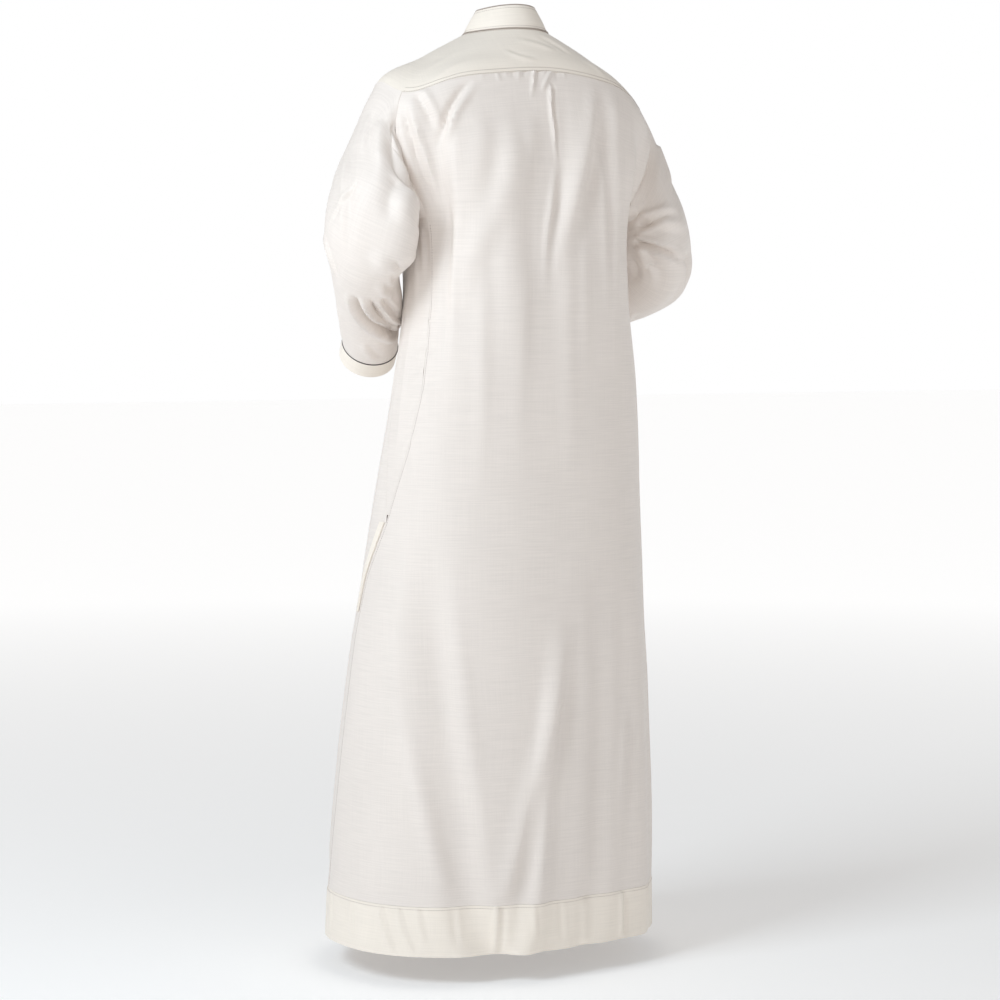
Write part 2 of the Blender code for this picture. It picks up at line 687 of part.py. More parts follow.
def add_placket(materials, collection):
    """The buttoned strip down the front, and its buttons."""
    rows = [row for row in front_places() if row[len(row) // 2][1] <= PLACKET_END]
    middle = len(rows[0]) // 2
    half = PLACKET_COLUMNS // 2
    strip = [row[middle - half:middle + half + 1] for row in rows]
    add_overlay("front_placket", strip, DOUBLE_CLOTH, SEAM_GAP, materials["double_cloth"], collection)
    for number, row in enumerate(BUTTON_ROWS, start=2):
        angle, level = rows[row][middle]
        outward = -body_inward(angle, level)
        base = body_point(angle, level) + outward * (SEAM_GAP * 3 + DOUBLE_CLOTH)
        add_button(f"button_{number}", base, outward, materials["button"], collection)


def pocket_places():
    """The welt of the left pocket, on the front panel beside the side seam."""
    grid = []
    for level in POCKET_LEVELS:
        edge = side_line("front", level) - POCKET_INSET
        grid.append([(edge - POCKET_WIDTH * step, level) for step in (0.0, 1.0)])
    return grid


def build_thobe():
    for old in list(bpy.data.objects):
        bpy.data.objects.remove(old, do_unlink=True)
    collection = bpy.data.collections.new("thobe")
    bpy.context.scene.collection.children.link(collection)
    materials = {name: add_material(name) for name in COLOURS}
    single = materials["single_cloth"]
    double = materials["double_cloth"]
    mitres = armhole_mitres()

    add_body_piece("back_panel", back_places(), SINGLE_CLOTH, mitres, single, collection)
    add_body_piece("front_panel", front_places(), SINGLE_CLOTH, mitres, single, collection)
    add_body_piece("yoke", yoke_places(), DOUBLE_CLOTH, mitres, double, collection)
    for side in SLEEVES:
        add_body_piece("side_gusset_" + side, gusset_places(side), SINGLE_CLOTH, mitres, single,
                       collection)
        add_sleeve(side, mitres, materials, collection)
    add_body_piece("hem_band", hem_places(), DOUBLE_CLOTH, mitres, double, collection, around=True)
    add_collar(materials, collection)
    add_placket(materials, collection)
    add_overlay("pocket_welt_left", pocket_places(), SINGLE_CLOTH, WELT_LIFT,
                materials["double_cloth"], collection)


build_thobe()
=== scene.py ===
import math
import random

import bpy
import numpy as np
from mathutils import Matrix, Vector
from mathutils.bvhtree import BVHTree


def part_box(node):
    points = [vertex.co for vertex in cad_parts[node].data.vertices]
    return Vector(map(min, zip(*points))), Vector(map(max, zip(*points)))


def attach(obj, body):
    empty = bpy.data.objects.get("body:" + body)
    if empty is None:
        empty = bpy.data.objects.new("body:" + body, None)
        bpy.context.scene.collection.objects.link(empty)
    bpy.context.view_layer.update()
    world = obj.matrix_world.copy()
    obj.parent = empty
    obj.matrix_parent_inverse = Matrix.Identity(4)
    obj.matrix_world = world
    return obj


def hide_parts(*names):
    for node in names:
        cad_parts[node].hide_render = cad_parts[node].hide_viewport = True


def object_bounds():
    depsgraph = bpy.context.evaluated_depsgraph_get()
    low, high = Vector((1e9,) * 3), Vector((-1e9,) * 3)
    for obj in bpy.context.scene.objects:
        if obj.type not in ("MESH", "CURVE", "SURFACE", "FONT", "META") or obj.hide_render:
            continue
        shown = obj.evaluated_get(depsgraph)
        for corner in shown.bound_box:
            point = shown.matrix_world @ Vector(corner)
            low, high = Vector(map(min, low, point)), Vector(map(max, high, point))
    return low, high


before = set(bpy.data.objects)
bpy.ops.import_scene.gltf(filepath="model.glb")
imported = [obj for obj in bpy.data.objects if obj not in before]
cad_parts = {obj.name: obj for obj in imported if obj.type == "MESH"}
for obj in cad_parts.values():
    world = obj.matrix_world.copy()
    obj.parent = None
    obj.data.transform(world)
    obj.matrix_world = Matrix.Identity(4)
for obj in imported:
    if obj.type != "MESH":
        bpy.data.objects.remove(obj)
cadBox = [list(corner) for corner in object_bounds()]

robe = {
    "singleCloth": 0.0012,      # wall of one layer of cloth
    "doubleCloth": 0.0020,
    "collarCloth": 0.0030,
    "seamGap": 0.0003,
    "pipingRadius": 0.0009,
    "unevenness": 0.0007,       # slow waviness of all the cloth
    "waveCount": 9, "waveRange": (14, 60),
    "creaseDepth": 1.35,        # one factor for all the creases placed below
    "creaseReach": 3.2,         # how far a crease reaches sideways, in half widths
    "creaseSteps": 60,
    "smoothAngle": 50,
    "seed": 11,
}

# The body cloth: the same sections as the part's own, from the neck seam to the hem
bodyColumns = ("halfWidth", "back", "front", "centreY", "backSquare", "frontSquare",
               "backZ", "sideZ", "frontZ", "dip", "rightDrop")
bodySections = [
    (0.066, 0.072, 0.072, 0.000, 2.0, 2.0, 0.004, 0.000, -0.045, 0.000, 0.000),   # neck seam
    (0.145, 0.100, 0.094, 0.004, 2.3, 2.2, -0.028, -0.040, -0.085, 0.005, 0.006),
    (0.224, 0.122, 0.108, 0.008, 2.6, 2.4, -0.066, -0.083, -0.130, 0.020, 0.014),  # yoke seam
    (0.230, 0.138, 0.124, 0.014, 2.7, 2.4, -0.165, -0.185, -0.205, 0.006, 0.010),
    (0.184, 0.144, 0.134, 0.018, 2.9, 2.3, -0.290, -0.290, -0.290, 0.000, 0.000),  # underarm
    (0.178, 0.144, 0.136, 0.022, 2.9, 2.0, -0.410, -0.410, -0.410, 0.000, 0.000),
    (0.200, 0.142, 0.134, 0.024, 2.6, 2.0, -0.550, -0.550, -0.550, 0.000, 0.000),  # waist
    (0.221, 0.156, 0.156, 0.006, 2.4, 2.2, -0.745, -0.745, -0.745, 0.000, 0.000),  # pocket
    (0.240, 0.176, 0.174, -0.014, 2.3, 2.2, -0.940, -0.940, -0.940, 0.000, 0.000),
    (0.255, 0.193, 0.191, -0.032, 2.3, 2.2, -1.140, -1.140, -1.140, 0.000, 0.000),
    (0.268, 0.206, 0.204, -0.045, 2.3, 2.2, -1.343, -1.343, -1.343, 0.000, 0.000),  # hem seam
    (0.271, 0.209, 0.207, -0.048, 2.3, 2.2, -1.420, -1.420, -1.420, 0.000, 0.000),  # hem
]
neck, yokeEdge, underarm, gussetTip, hemSeam, hemEdge = 0.0, 2.0, 4.0, 7.0, 10.0, 11.0
dipPower, dipScale = 20, 28.5

# Level, back and front side line, degrees from the wearer's side
sideLines = [
    (2.0, 14.0, -16.0), (2.7, 13.0, -16.5), (3.4, 14.0, -16.0), (4.0, 17.0, -9.0),
    (5.0, 17.5, -6.5), (6.0, 17.0, -5.5), (6.5, 12.5, -3.0), (7.0, 5.0, 3.8),
    (7.06, 4.2, 4.2), (7.5, -6.0, -6.0), (8.0, -12.0, -12.0), (11.0, -16.0, -16.0),
]
yokeFrontAtNeck = -42.0

# Largest folds, as in the part: angle above and below, start, full, still, gone, half width, depth
bodyFolds = [
    (27, 25, 2.2, 3.2, 3.9, 4.8, 11, -0.018),    # between back and left arm
    (153, 155, 2.2, 3.2, 3.9, 4.8, 11, -0.014),  # between back and right arm
    (-27, -26, 2.4, 3.2, 3.9, 4.6, 11, -0.014),
    (207, 206, 2.4, 3.2, 3.9, 4.6, 11, -0.014),
    (112, 92, 2.2, 3.4, 4.0, 5.6, 12, 0.006),
    (64, 58, 2.6, 3.6, 4.6, 6.4, 13, 0.006),
    (24, 66, 7.0, 8.2, 11.0, 11.5, 12, -0.014),  # trough of the left skirt
    (92, 73, 7.6, 9.2, 11.0, 11.5, 9, 0.012),    # ridge of the middle skirt
    (118, 104, 7.2, 9.0, 11.0, 11.5, 11, -0.008),
    (142, 134, 7.0, 8.6, 11.0, 11.5, 12, 0.010),
    (-32, -40, 7.4, 9.0, 11.0, 11.5, 12, 0.010),
    (-62, -66, 7.0, 8.6, 11.0, 11.5, 12, -0.012),
    (248, 244, 7.0, 8.8, 11.0, 11.5, 13, 0.010),
    (222, 216, 7.4, 9.0, 11.0, 11.5, 11, -0.010),
]

# Sleeves: outermost and innermost point of each ring, and its half size towards the back
sleeveColumns = ("outerX", "outerY", "outerZ", "innerX", "innerY", "innerZ", "back")
sleeveRows = {
    "left": [
        (0.246, 0.004, -0.130, 0.196, 0.020, -0.292, 0.078),
        (0.271, 0.006, -0.180, 0.195, 0.022, -0.300, 0.084),
        (0.296, 0.010, -0.232, 0.193, 0.024, -0.310, 0.087),
        (0.310, 0.008, -0.285, 0.192, 0.018, -0.326, 0.083),
        (0.305, -0.008, -0.338, 0.190, 0.004, -0.346, 0.074),    # elbow
        (0.272, -0.056, -0.386, 0.182, -0.012, -0.382, 0.060),
        (0.246, -0.092, -0.424, 0.162, -0.047, -0.424, 0.052),
        (0.225, -0.122, -0.452, 0.147, -0.080, -0.466, 0.046),
        (0.210, -0.144, -0.472, 0.137, -0.104, -0.494, 0.042),   # wrist
    ],
    "right": [
        (-0.244, 0.004, -0.146, -0.196, 0.020, -0.297, 0.078),
        (-0.268, 0.004, -0.204, -0.196, 0.020, -0.307, 0.084),
        (-0.298, 0.004, -0.262, -0.198, 0.020, -0.322, 0.086),
        (-0.322, 0.000, -0.318, -0.208, 0.014, -0.346, 0.080),
        (-0.332, -0.020, -0.368, -0.220, 0.006, -0.364, 0.068),  # elbow
        (-0.288, -0.092, -0.406, -0.208, -0.030, -0.396, 0.054),
        (-0.244, -0.132, -0.440, -0.170, -0.072, -0.432, 0.050),
        (-0.206, -0.168, -0.473, -0.136, -0.112, -0.466, 0.046),
        (-0.179, -0.193, -0.492, -0.113, -0.141, -0.486, 0.042),  # wrist
    ],
}
sleeveFolds = {
    "left": [
        (118, 132, 0.6, 2.4, 3.2, 4.3, 62, 0.024),   # fullness behind the arm
        (228, 236, 3.6, 4.6, 5.0, 6.2, 34, -0.008),  # crook of the elbow
        (150, 168, 4.6, 5.4, 5.8, 7.0, 34, 0.007),
    ],
    "right": [
        (112, 124, 0.6, 2.4, 3.2, 4.3, 60, 0.014),
        (228, 236, 3.6, 4.6, 5.0, 6.2, 34, -0.008),
        (70, 84, 2.6, 3.4, 3.8, 4.8, 30, -0.007),
    ],
}
wrist = 8.0  # the last row of a sleeve


# Shapes shared by all pieces
def curveStep(before, start, end, after, share):
    # from start to end on a smooth curve that heads on to its neighbours
    slopeStart = (end - before) / 2
    slopeEnd = (after - start) / 2
    rise = end - start
    return start + share * (slopeStart + share * (3 * rise - 2 * slopeStart - slopeEnd
                                                  + share * (slopeStart + slopeEnd - 2 * rise)))


def readColumn(rows, columns, name, place):
    values = np.array([row[columns.index(name)] for row in rows])
    first = np.clip(np.floor(place).astype(int), 0, len(values) - 2)
    before = values[np.maximum(first - 1, 0)]
    after = values[np.minimum(first + 2, len(values) - 1)]
    return curveStep(before, values[first], values[first + 1], after, place - first)


def sideLine(name, level):
    levels = [row[0] for row in sideLines]
    return np.interp(level, levels, [row[1 if name == "back" else 2] for row in sideLines])


def smooth(share):
    share = np.clip(share, 0.0, 1.0)
    return share * share * (3 - 2 * share)


def mix(start, end, share):
    return start + (end - start) * share


def unit(vectors):
    return vectors / np.maximum(np.linalg.norm(vectors, axis=-1, keepdims=True), 1e-12)


def foldDepth(folds, angle, place):
    depth = np.zeros(np.broadcast(angle, place).shape)
    for top, end, start, full, still, gone, halfWidth, deep in folds:
        middle = mix(top, end, np.clip((place - start) / (gone - start), 0, 1))
        across = np.clip(np.abs((angle - middle + 180) % 360 - 180) / halfWidth, 0, 1)
        along = smooth((place - start) / (full - start)) * smooth((gone - place) / (gone - still))
        depth = depth + deep * along * (0.5 + 0.5 * np.cos(math.pi * across))
    return depth


def bodyPoint(angle, level):
    angle, level = np.broadcast_arrays(np.asarray(angle, float), np.asarray(level, float))
    at = {name: readColumn(bodySections, bodyColumns, name, level) for name in bodyColumns}
    cosine, sine = np.cos(np.radians(angle)), np.sin(np.radians(angle))
    behind = sine >= 0
    depth = np.where(behind, at["back"], at["front"])
    power = np.where(behind, at["backSquare"], at["frontSquare"])
    radius = (np.abs(cosine / at["halfWidth"]) ** power + np.abs(sine / depth) ** power) ** (-1 / power)
    radius = radius + foldDepth(bodyFolds, angle, level)
    z = at["sideZ"] * cosine ** 2 + np.where(behind, at["backZ"], at["frontZ"]) * sine ** 2
    z = z - at["dip"] * dipScale * cosine ** dipPower * sine ** 2
    z = z - np.where(cosine < 0, at["rightDrop"] * cosine ** 4, 0)
    return np.stack([radius * cosine, at["centreY"] + radius * sine, z], axis=-1)


def bodyOutward(angle, level):
    around = bodyPoint(angle + 1.0, level) - bodyPoint(angle - 1.0, level)
    above = bodyPoint(angle, np.maximum(level - 0.01, 0))
    below = bodyPoint(angle, np.minimum(level + 0.01, hemEdge))
    return -unit(np.cross(around, below - above))


def onSide(side, offset):
    return offset if side == "left" else 180 - offset


def halfGap(level):
    return np.degrees(robe["seamGap"] / 2 / readColumn(bodySections, bodyColumns, "halfWidth", level))


def levelGap(level):
    return robe["seamGap"] * 0.02 / np.linalg.norm(bodyPoint(90.0, level + 0.02) - bodyPoint(90.0, level))


def closeAtEnds(start, end, step, edgeSteps=(0.012, 0.03, 0.06)):
    # levels between two seams, closer together beside each seam
    inner = np.linspace(start + 0.10, end - 0.10, max(int(round((end - start - 0.2) / step)), 2))
    lead = [start] + [start + s for s in edgeSteps]
    tail = [end - s for s in reversed(edgeSteps)] + [end]
    return np.array(lead + list(inner) + tail)


def smoothLine(points, count):
    # a smooth curve through a few places, read at evenly spaced shares
    points = np.array(points, float)
    place = np.linspace(0, len(points) - 1, count)
    rows = [tuple(row) for row in points]
    names = tuple(range(points.shape[1]))
    return np.stack([readColumn(rows, names, name, place) for name in names], axis=-1)


def gridNormals(points, around=False):
    if around:
        across = np.roll(points, -1, axis=1) - np.roll(points, 1, axis=1)
    else:
        across = np.gradient(points, axis=1)
    return unit(np.cross(np.gradient(points, axis=0), across))


# A crease is a line of places on the cloth, its half width and depth in metres, its kind, and the
# shares of its length over which it grows and fades.
def creaseShape(kind, across):
    if kind == "ridge" or kind == "trough":
        return np.exp(-across ** 2) * (1 if kind == "ridge" else -1)
    if kind == "sharp":
        return np.exp(-np.abs(across) ** 1.2 * 1.4)
    if kind == "gully":
        return -np.exp(-np.abs(across) ** 1.3 * 1.3) + 0.45 * np.exp(-(np.abs(across) - 1.7) ** 2 / 0.5)
    return np.exp(-(across / 0.8) ** 2) - 0.75 * np.exp(-((across - 1.35) / 0.85) ** 2)  # fold


def addCreases(points, outward, creases, surface):
    flat = points.reshape(-1, 3)
    normals = outward.reshape(-1, 3)
    lift = np.zeros(len(flat))
    for places, halfWidth, depth, kind, grow, fade in creases:
        line = smoothLine(places, robe["creaseSteps"])
        path = surface(line[:, 0], line[:, 1])
        reach = halfWidth * robe["creaseReach"]
        low, high = path.min(axis=0) - reach, path.max(axis=0) + reach
        near = np.nonzero(((flat > low) & (flat < high)).all(axis=1))[0]
        if not len(near):
            continue
        gap = flat[near][:, None, :] - path[None, :, :]
        nearest = (gap ** 2).sum(axis=2).argmin(axis=1)
        tangent = unit(np.gradient(path, axis=0))[nearest]
        offset = gap[np.arange(len(near)), nearest]
        sideways = np.cross(normals[near], tangent)
        across = (offset * sideways).sum(axis=1) / halfWidth
        beyond = np.abs((offset * tangent).sum(axis=1)) / halfWidth
        share = nearest / (len(path) - 1)
        strength = smooth((share + 0.001) / max(grow, 0.001)) * smooth((1 - share) / max(fade, 0.001))
        strength = strength * np.exp(-np.maximum(beyond - 0.5, 0) ** 2)
        inReach = np.abs(across) < robe["creaseReach"]
        lift[near] += depth * robe["creaseDepth"] * strength * creaseShape(kind, across) * inReach
    return points + outward * lift.reshape(points.shape[:2])[..., None]


waves = random.Random(robe["seed"])
waveList = [(Vector([waves.uniform(-1, 1) for _ in range(3)]).normalized()
             * waves.uniform(*robe["waveRange"]), waves.uniform(0, 6.28))
            for _ in range(robe["waveCount"])]


def unevenLift(points):
    # a slow waviness that no hand-sewn cloth is without
    lift = np.zeros(points.shape[:-1])
    for direction, phase in waveList:
        lift += np.sin(points @ np.array(direction) + phase)
    return lift / len(waveList) * robe["unevenness"]


clothPieces = {}  # the outer face of each sheet, for laying stitches and buttons on


def addObject(name, data):
    added = bpy.data.objects.new(name, data)
    bpy.context.scene.collection.objects.link(added)
    return added


def finishPiece(piece, material, nodes=()):
    if not piece.data.materials:
        piece.data.materials.append(material)
    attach(piece, "root")
    if nodes:
        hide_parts(*nodes)
    return piece


def selectOnly(piece):
    bpy.ops.object.select_all(action="DESELECT")
    piece.select_set(True)
    bpy.context.view_layer.objects.active = piece


def makeSheet(name, points, layer, nodes, around=False):
    # one sheet of cloth on a grid of points, given its thickness inwards
    thickness, material, slot = layers[layer]
    rows, columns = points.shape[:2]
    grid = np.arange(rows * columns).reshape(rows, columns)
    right = np.roll(grid, -1, axis=1) if around else grid[:, 1:]
    left = grid if around else grid[:, :-1]
    faces = np.stack([left[:-1], left[1:], right[1:], right[:-1]], axis=-1).reshape(-1, 4)
    across = np.linalg.norm(np.diff(points, axis=1), axis=2)
    u = np.concatenate([np.zeros((rows, 1)), np.cumsum(across, axis=1)], axis=1)
    u = u - u[:, columns // 2][:, None]
    down = np.linalg.norm(np.diff(points, axis=0), axis=2).mean(axis=1)
    v = -np.concatenate([[0.0], np.cumsum(down)])[:, None] * np.ones((1, columns))
    data = bpy.data.meshes.new(name)
    verts = [tuple(point) for point in points.reshape(-1, 3)]
    faces = [tuple(int(corner) for corner in face) for face in faces]
    data.from_pydata(verts, [], faces)
    uvMap = data.uv_layers.new(name="cloth")
    corners = np.zeros(len(data.loops), int)
    data.loops.foreach_get("vertex_index", corners)
    flatUv = np.stack([u.reshape(-1)[corners], v.reshape(-1)[corners]], axis=-1)
    if around:  # the seam column's far corners run on instead of jumping back
        whole = (u[:, -1] - u[:, 0] + np.linalg.norm(points[:, 0] - points[:, -1], axis=1))
        ring = corners // columns
        column = corners % columns
        quad = np.arange(len(corners)) // 4
        wraps = (quad % columns) == columns - 1
        flatUv[:, 0] += np.where(wraps & (column == 0), whole[ring], 0)
    uvMap.data.foreach_set("uv", flatUv.reshape(-1))
    piece = addObject(name, data)
    clothPieces[name] = BVHTree.FromPolygons(verts, faces)
    wall = piece.modifiers.new("wall", "SOLIDIFY")
    wall.thickness = thickness
    wall.offset = -1
    selectOnly(piece)
    bpy.ops.object.modifier_apply(modifier=wall.name)
    bpy.ops.object.shade_smooth_by_angle(angle=math.radians(robe["smoothAngle"]))
    return finishPiece(piece, material, nodes)


# Materials
cloth = {
    "single": (0.845, 0.782, 0.732),
    "double": (0.925, 0.855, 0.768),
    # thread: partly the thread's own brown, partly painted shade; dark enough that the yoke's stitch rows
    # draw the shade line at the yoke seam's edge
    "thread": (0.260, 0.190, 0.165),
    "collarPiping": (0.400, 0.330, 0.285),
    "cuffPiping": (0.040, 0.028, 0.032),
    "button": (0.860, 0.830, 0.780),
    "buttonDark": (0.78, 0.75, 0.70), "buttonPale": (0.92, 0.90, 0.86),
    "roughness": 0.50, "specular": 0.35,
    "sheen": 0.22, "sheenRoughness": 0.35, "sheenTint": (1.0, 0.98, 0.95, 1),
    "slub": 0.055,               # how much paler and darker the uneven yarns are
    "weftScale": (16, 560, 1),   # uneven weft yarns, seen as fine level lines
    "warpScale": (620, 11, 1),   # fainter warp yarns
    "warpShare": 0.45,
    "patchScale": (9, 6, 1),     # slow change of tone
    "weaveScale": 520.0, "weaveShare": 0.35,
    "bump": 0.22, "bumpDepth": 0.0004,
    "cordSheen": 0.15, "twistScale": 420.0, "twistBump": 0.4, "twistDepth": 0.0002,
}


def setInputs(node, values):
    for name, value in values.items():
        node.inputs[name].default_value = value


def addNode(tree, kind, **values):
    node = tree.nodes.new(kind)
    for key, value in values.items():
        if key in node.inputs:
            node.inputs[key].default_value = value
        else:
            setattr(node, key, value)
    return node


def addRange(tree, source, toMin, toMax, fromMin=0.0, fromMax=1.0):
    # maps a value from one range to another
    node = addNode(tree, "ShaderNodeMapRange")
    setInputs(node, {"From Min": fromMin, "From Max": fromMax, "To Min": toMin, "To Max": toMax})
    tree.links.new(source, node.inputs["Value"])
    return node.outputs["Result"]


def addSum(tree, source, share, other):
    node = addNode(tree, "ShaderNodeMath", operation="MULTIPLY_ADD")
    tree.links.new(source, node.inputs[0])
    node.inputs[1].default_value = share
    tree.links.new(other, node.inputs[2])
    return node.outputs[0]


def addProduct(tree, first, second):
    node = addNode(tree, "ShaderNodeMath", operation="MULTIPLY")
    tree.links.new(first, node.inputs[0])
    tree.links.new(second, node.inputs[1])
    return node.outputs[0]


def addRamp(tree, source, places, colours):
    node = addNode(tree, "ShaderNodeValToRGB")
    for stop, place, colour in zip(node.color_ramp.elements, places, colours):
        stop.position = place
        stop.color = (*colour, 1)
    tree.links.new(source, node.inputs["Fac"])
    return node.outputs["Color"]


def addTone(tree, shader, colour, factor):
    # the base colour, made paler and darker by a factor
    node = addNode(tree, "ShaderNodeVectorMath", operation="SCALE")
    node.inputs[0].default_value = colour
    tree.links.new(factor, node.inputs["Scale"])
    tree.links.new(node.outputs["Vector"], shader.inputs["Base Color"])


def addRelief(tree, shader, height, strength, depth):
    node = addNode(tree, "ShaderNodeBump", Strength=strength, Distance=depth)
    tree.links.new(height, node.inputs["Height"])
    tree.links.new(node.outputs["Normal"], shader.inputs["Normal"])


def makeMaterial(name, colour, roughness):
    material = bpy.data.materials.new(name)
    material.use_nodes = True
    shader = material.node_tree.nodes["Principled BSDF"]
    setInputs(shader, {"Base Color": (*colour, 1), "Roughness": roughness})
    return material, material.node_tree, shader


def makeClothMaterial(name, colour, slub, bump):
    material, tree, shader = makeMaterial(name, colour, cloth["roughness"])
    setInputs(shader, {"Specular IOR Level": cloth["specular"], "Sheen Weight": cloth["sheen"],
                       "Sheen Roughness": cloth["sheenRoughness"], "Sheen Tint": cloth["sheenTint"]})
    uv = addNode(tree, "ShaderNodeUVMap", uv_map="cloth").outputs["UV"]

    def streaks(scale, detail):
        turn = addNode(tree, "ShaderNodeMapping", Scale=scale)
        tree.links.new(uv, turn.inputs["Vector"])
        noise = addNode(tree, "ShaderNodeTexNoise", Scale=1.0, Detail=detail, Roughness=0.6)
        tree.links.new(turn.outputs["Vector"], noise.inputs["Vector"])
        return noise.outputs["Fac"]

    def yarns(direction):
        wave = addNode(tree, "ShaderNodeTexWave", bands_direction=direction,
                       Scale=cloth["weaveScale"], Distortion=0.6)
        tree.links.new(uv, wave.inputs["Vector"])
        return wave.outputs["Fac"]

    weft = streaks(cloth["weftScale"], 3.0)
    warp = streaks(cloth["warpScale"], 2.0)
    patches = streaks(cloth["patchScale"], 2.0)
    total = addSum(tree, warp, cloth["warpShare"], weft)
    tone = addRange(tree, total, 1 - slub, 1 + slub * 0.6, 0.50, 0.95)
    slow = addRange(tree, patches, 0.985, 1.01, 0.35, 0.65)
    addTone(tree, shader, colour, addProduct(tree, tone, slow))
    weave = addProduct(tree, yarns("X"), yarns("Y"))
    addRelief(tree, shader, addSum(tree, weave, cloth["weaveShare"], total), bump, cloth["bumpDepth"])
    return material


def makeCordMaterial(name, colour, roughness):
    # thread and piping: fine diagonal twist
    material, tree, shader = makeMaterial(name, colour, roughness)
    setInputs(shader, {"Sheen Weight": cloth["cordSheen"]})
    place = addNode(tree, "ShaderNodeTexCoord")
    twist = addNode(tree, "ShaderNodeTexWave", bands_direction="DIAGONAL",
                    Scale=cloth["twistScale"], Distortion=1.0)
    tree.links.new(place.outputs["Object"], twist.inputs["Vector"])
    addRelief(tree, shader, twist.outputs["Fac"], cloth["twistBump"], cloth["twistDepth"])
    addTone(tree, shader, colour, addRange(tree, twist.outputs["Fac"], 0.8, 1.15))
    return material


def makeButtonMaterial():
    material, tree, shader = makeMaterial("pearlButton", cloth["button"], 0.22)
    setInputs(shader, {"Coat Weight": 0.5, "Coat Roughness": 0.12})
    place = addNode(tree, "ShaderNodeTexCoord")
    swirl = addNode(tree, "ShaderNodeTexNoise", Scale=260.0, Detail=3.0, Distortion=1.5)
    tree.links.new(place.outputs["Object"], swirl.inputs["Vector"])
    pearl = addRamp(tree, swirl.outputs["Fac"], (0.35, 0.65), (cloth["buttonDark"], cloth["buttonPale"]))
    tree.links.new(pearl, shader.inputs["Base Color"])
    return material


singleCloth = makeClothMaterial("singleCloth", cloth["single"], cloth["slub"], cloth["bump"])
doubleCloth = makeClothMaterial("doubleCloth", cloth["double"], cloth["slub"] * 0.8, cloth["bump"])
# dark thread: carries painted seam shade as well as the thread's own colour
threadAndSeamShadeMaterial = makeCordMaterial("sewingThreadAndSeamShade", cloth["thread"], 0.6)
collarPipingMaterial = makeCordMaterial("collarPiping", cloth["collarPiping"], 0.5)
cuffPipingMaterial = makeCordMaterial("cuffPiping", cloth["cuffPiping"], 0.45)
buttonMaterial = makeButtonMaterial()
layers = {  # wall, material and slot of each kind of cloth
    "single": (robe["singleCloth"], singleCloth, "single_cloth"),
    "double": (robe["doubleCloth"], doubleCloth, "double_cloth"),
    "collar": (robe["collarCloth"], doubleCloth, "double_cloth"),
}
print("materials made")


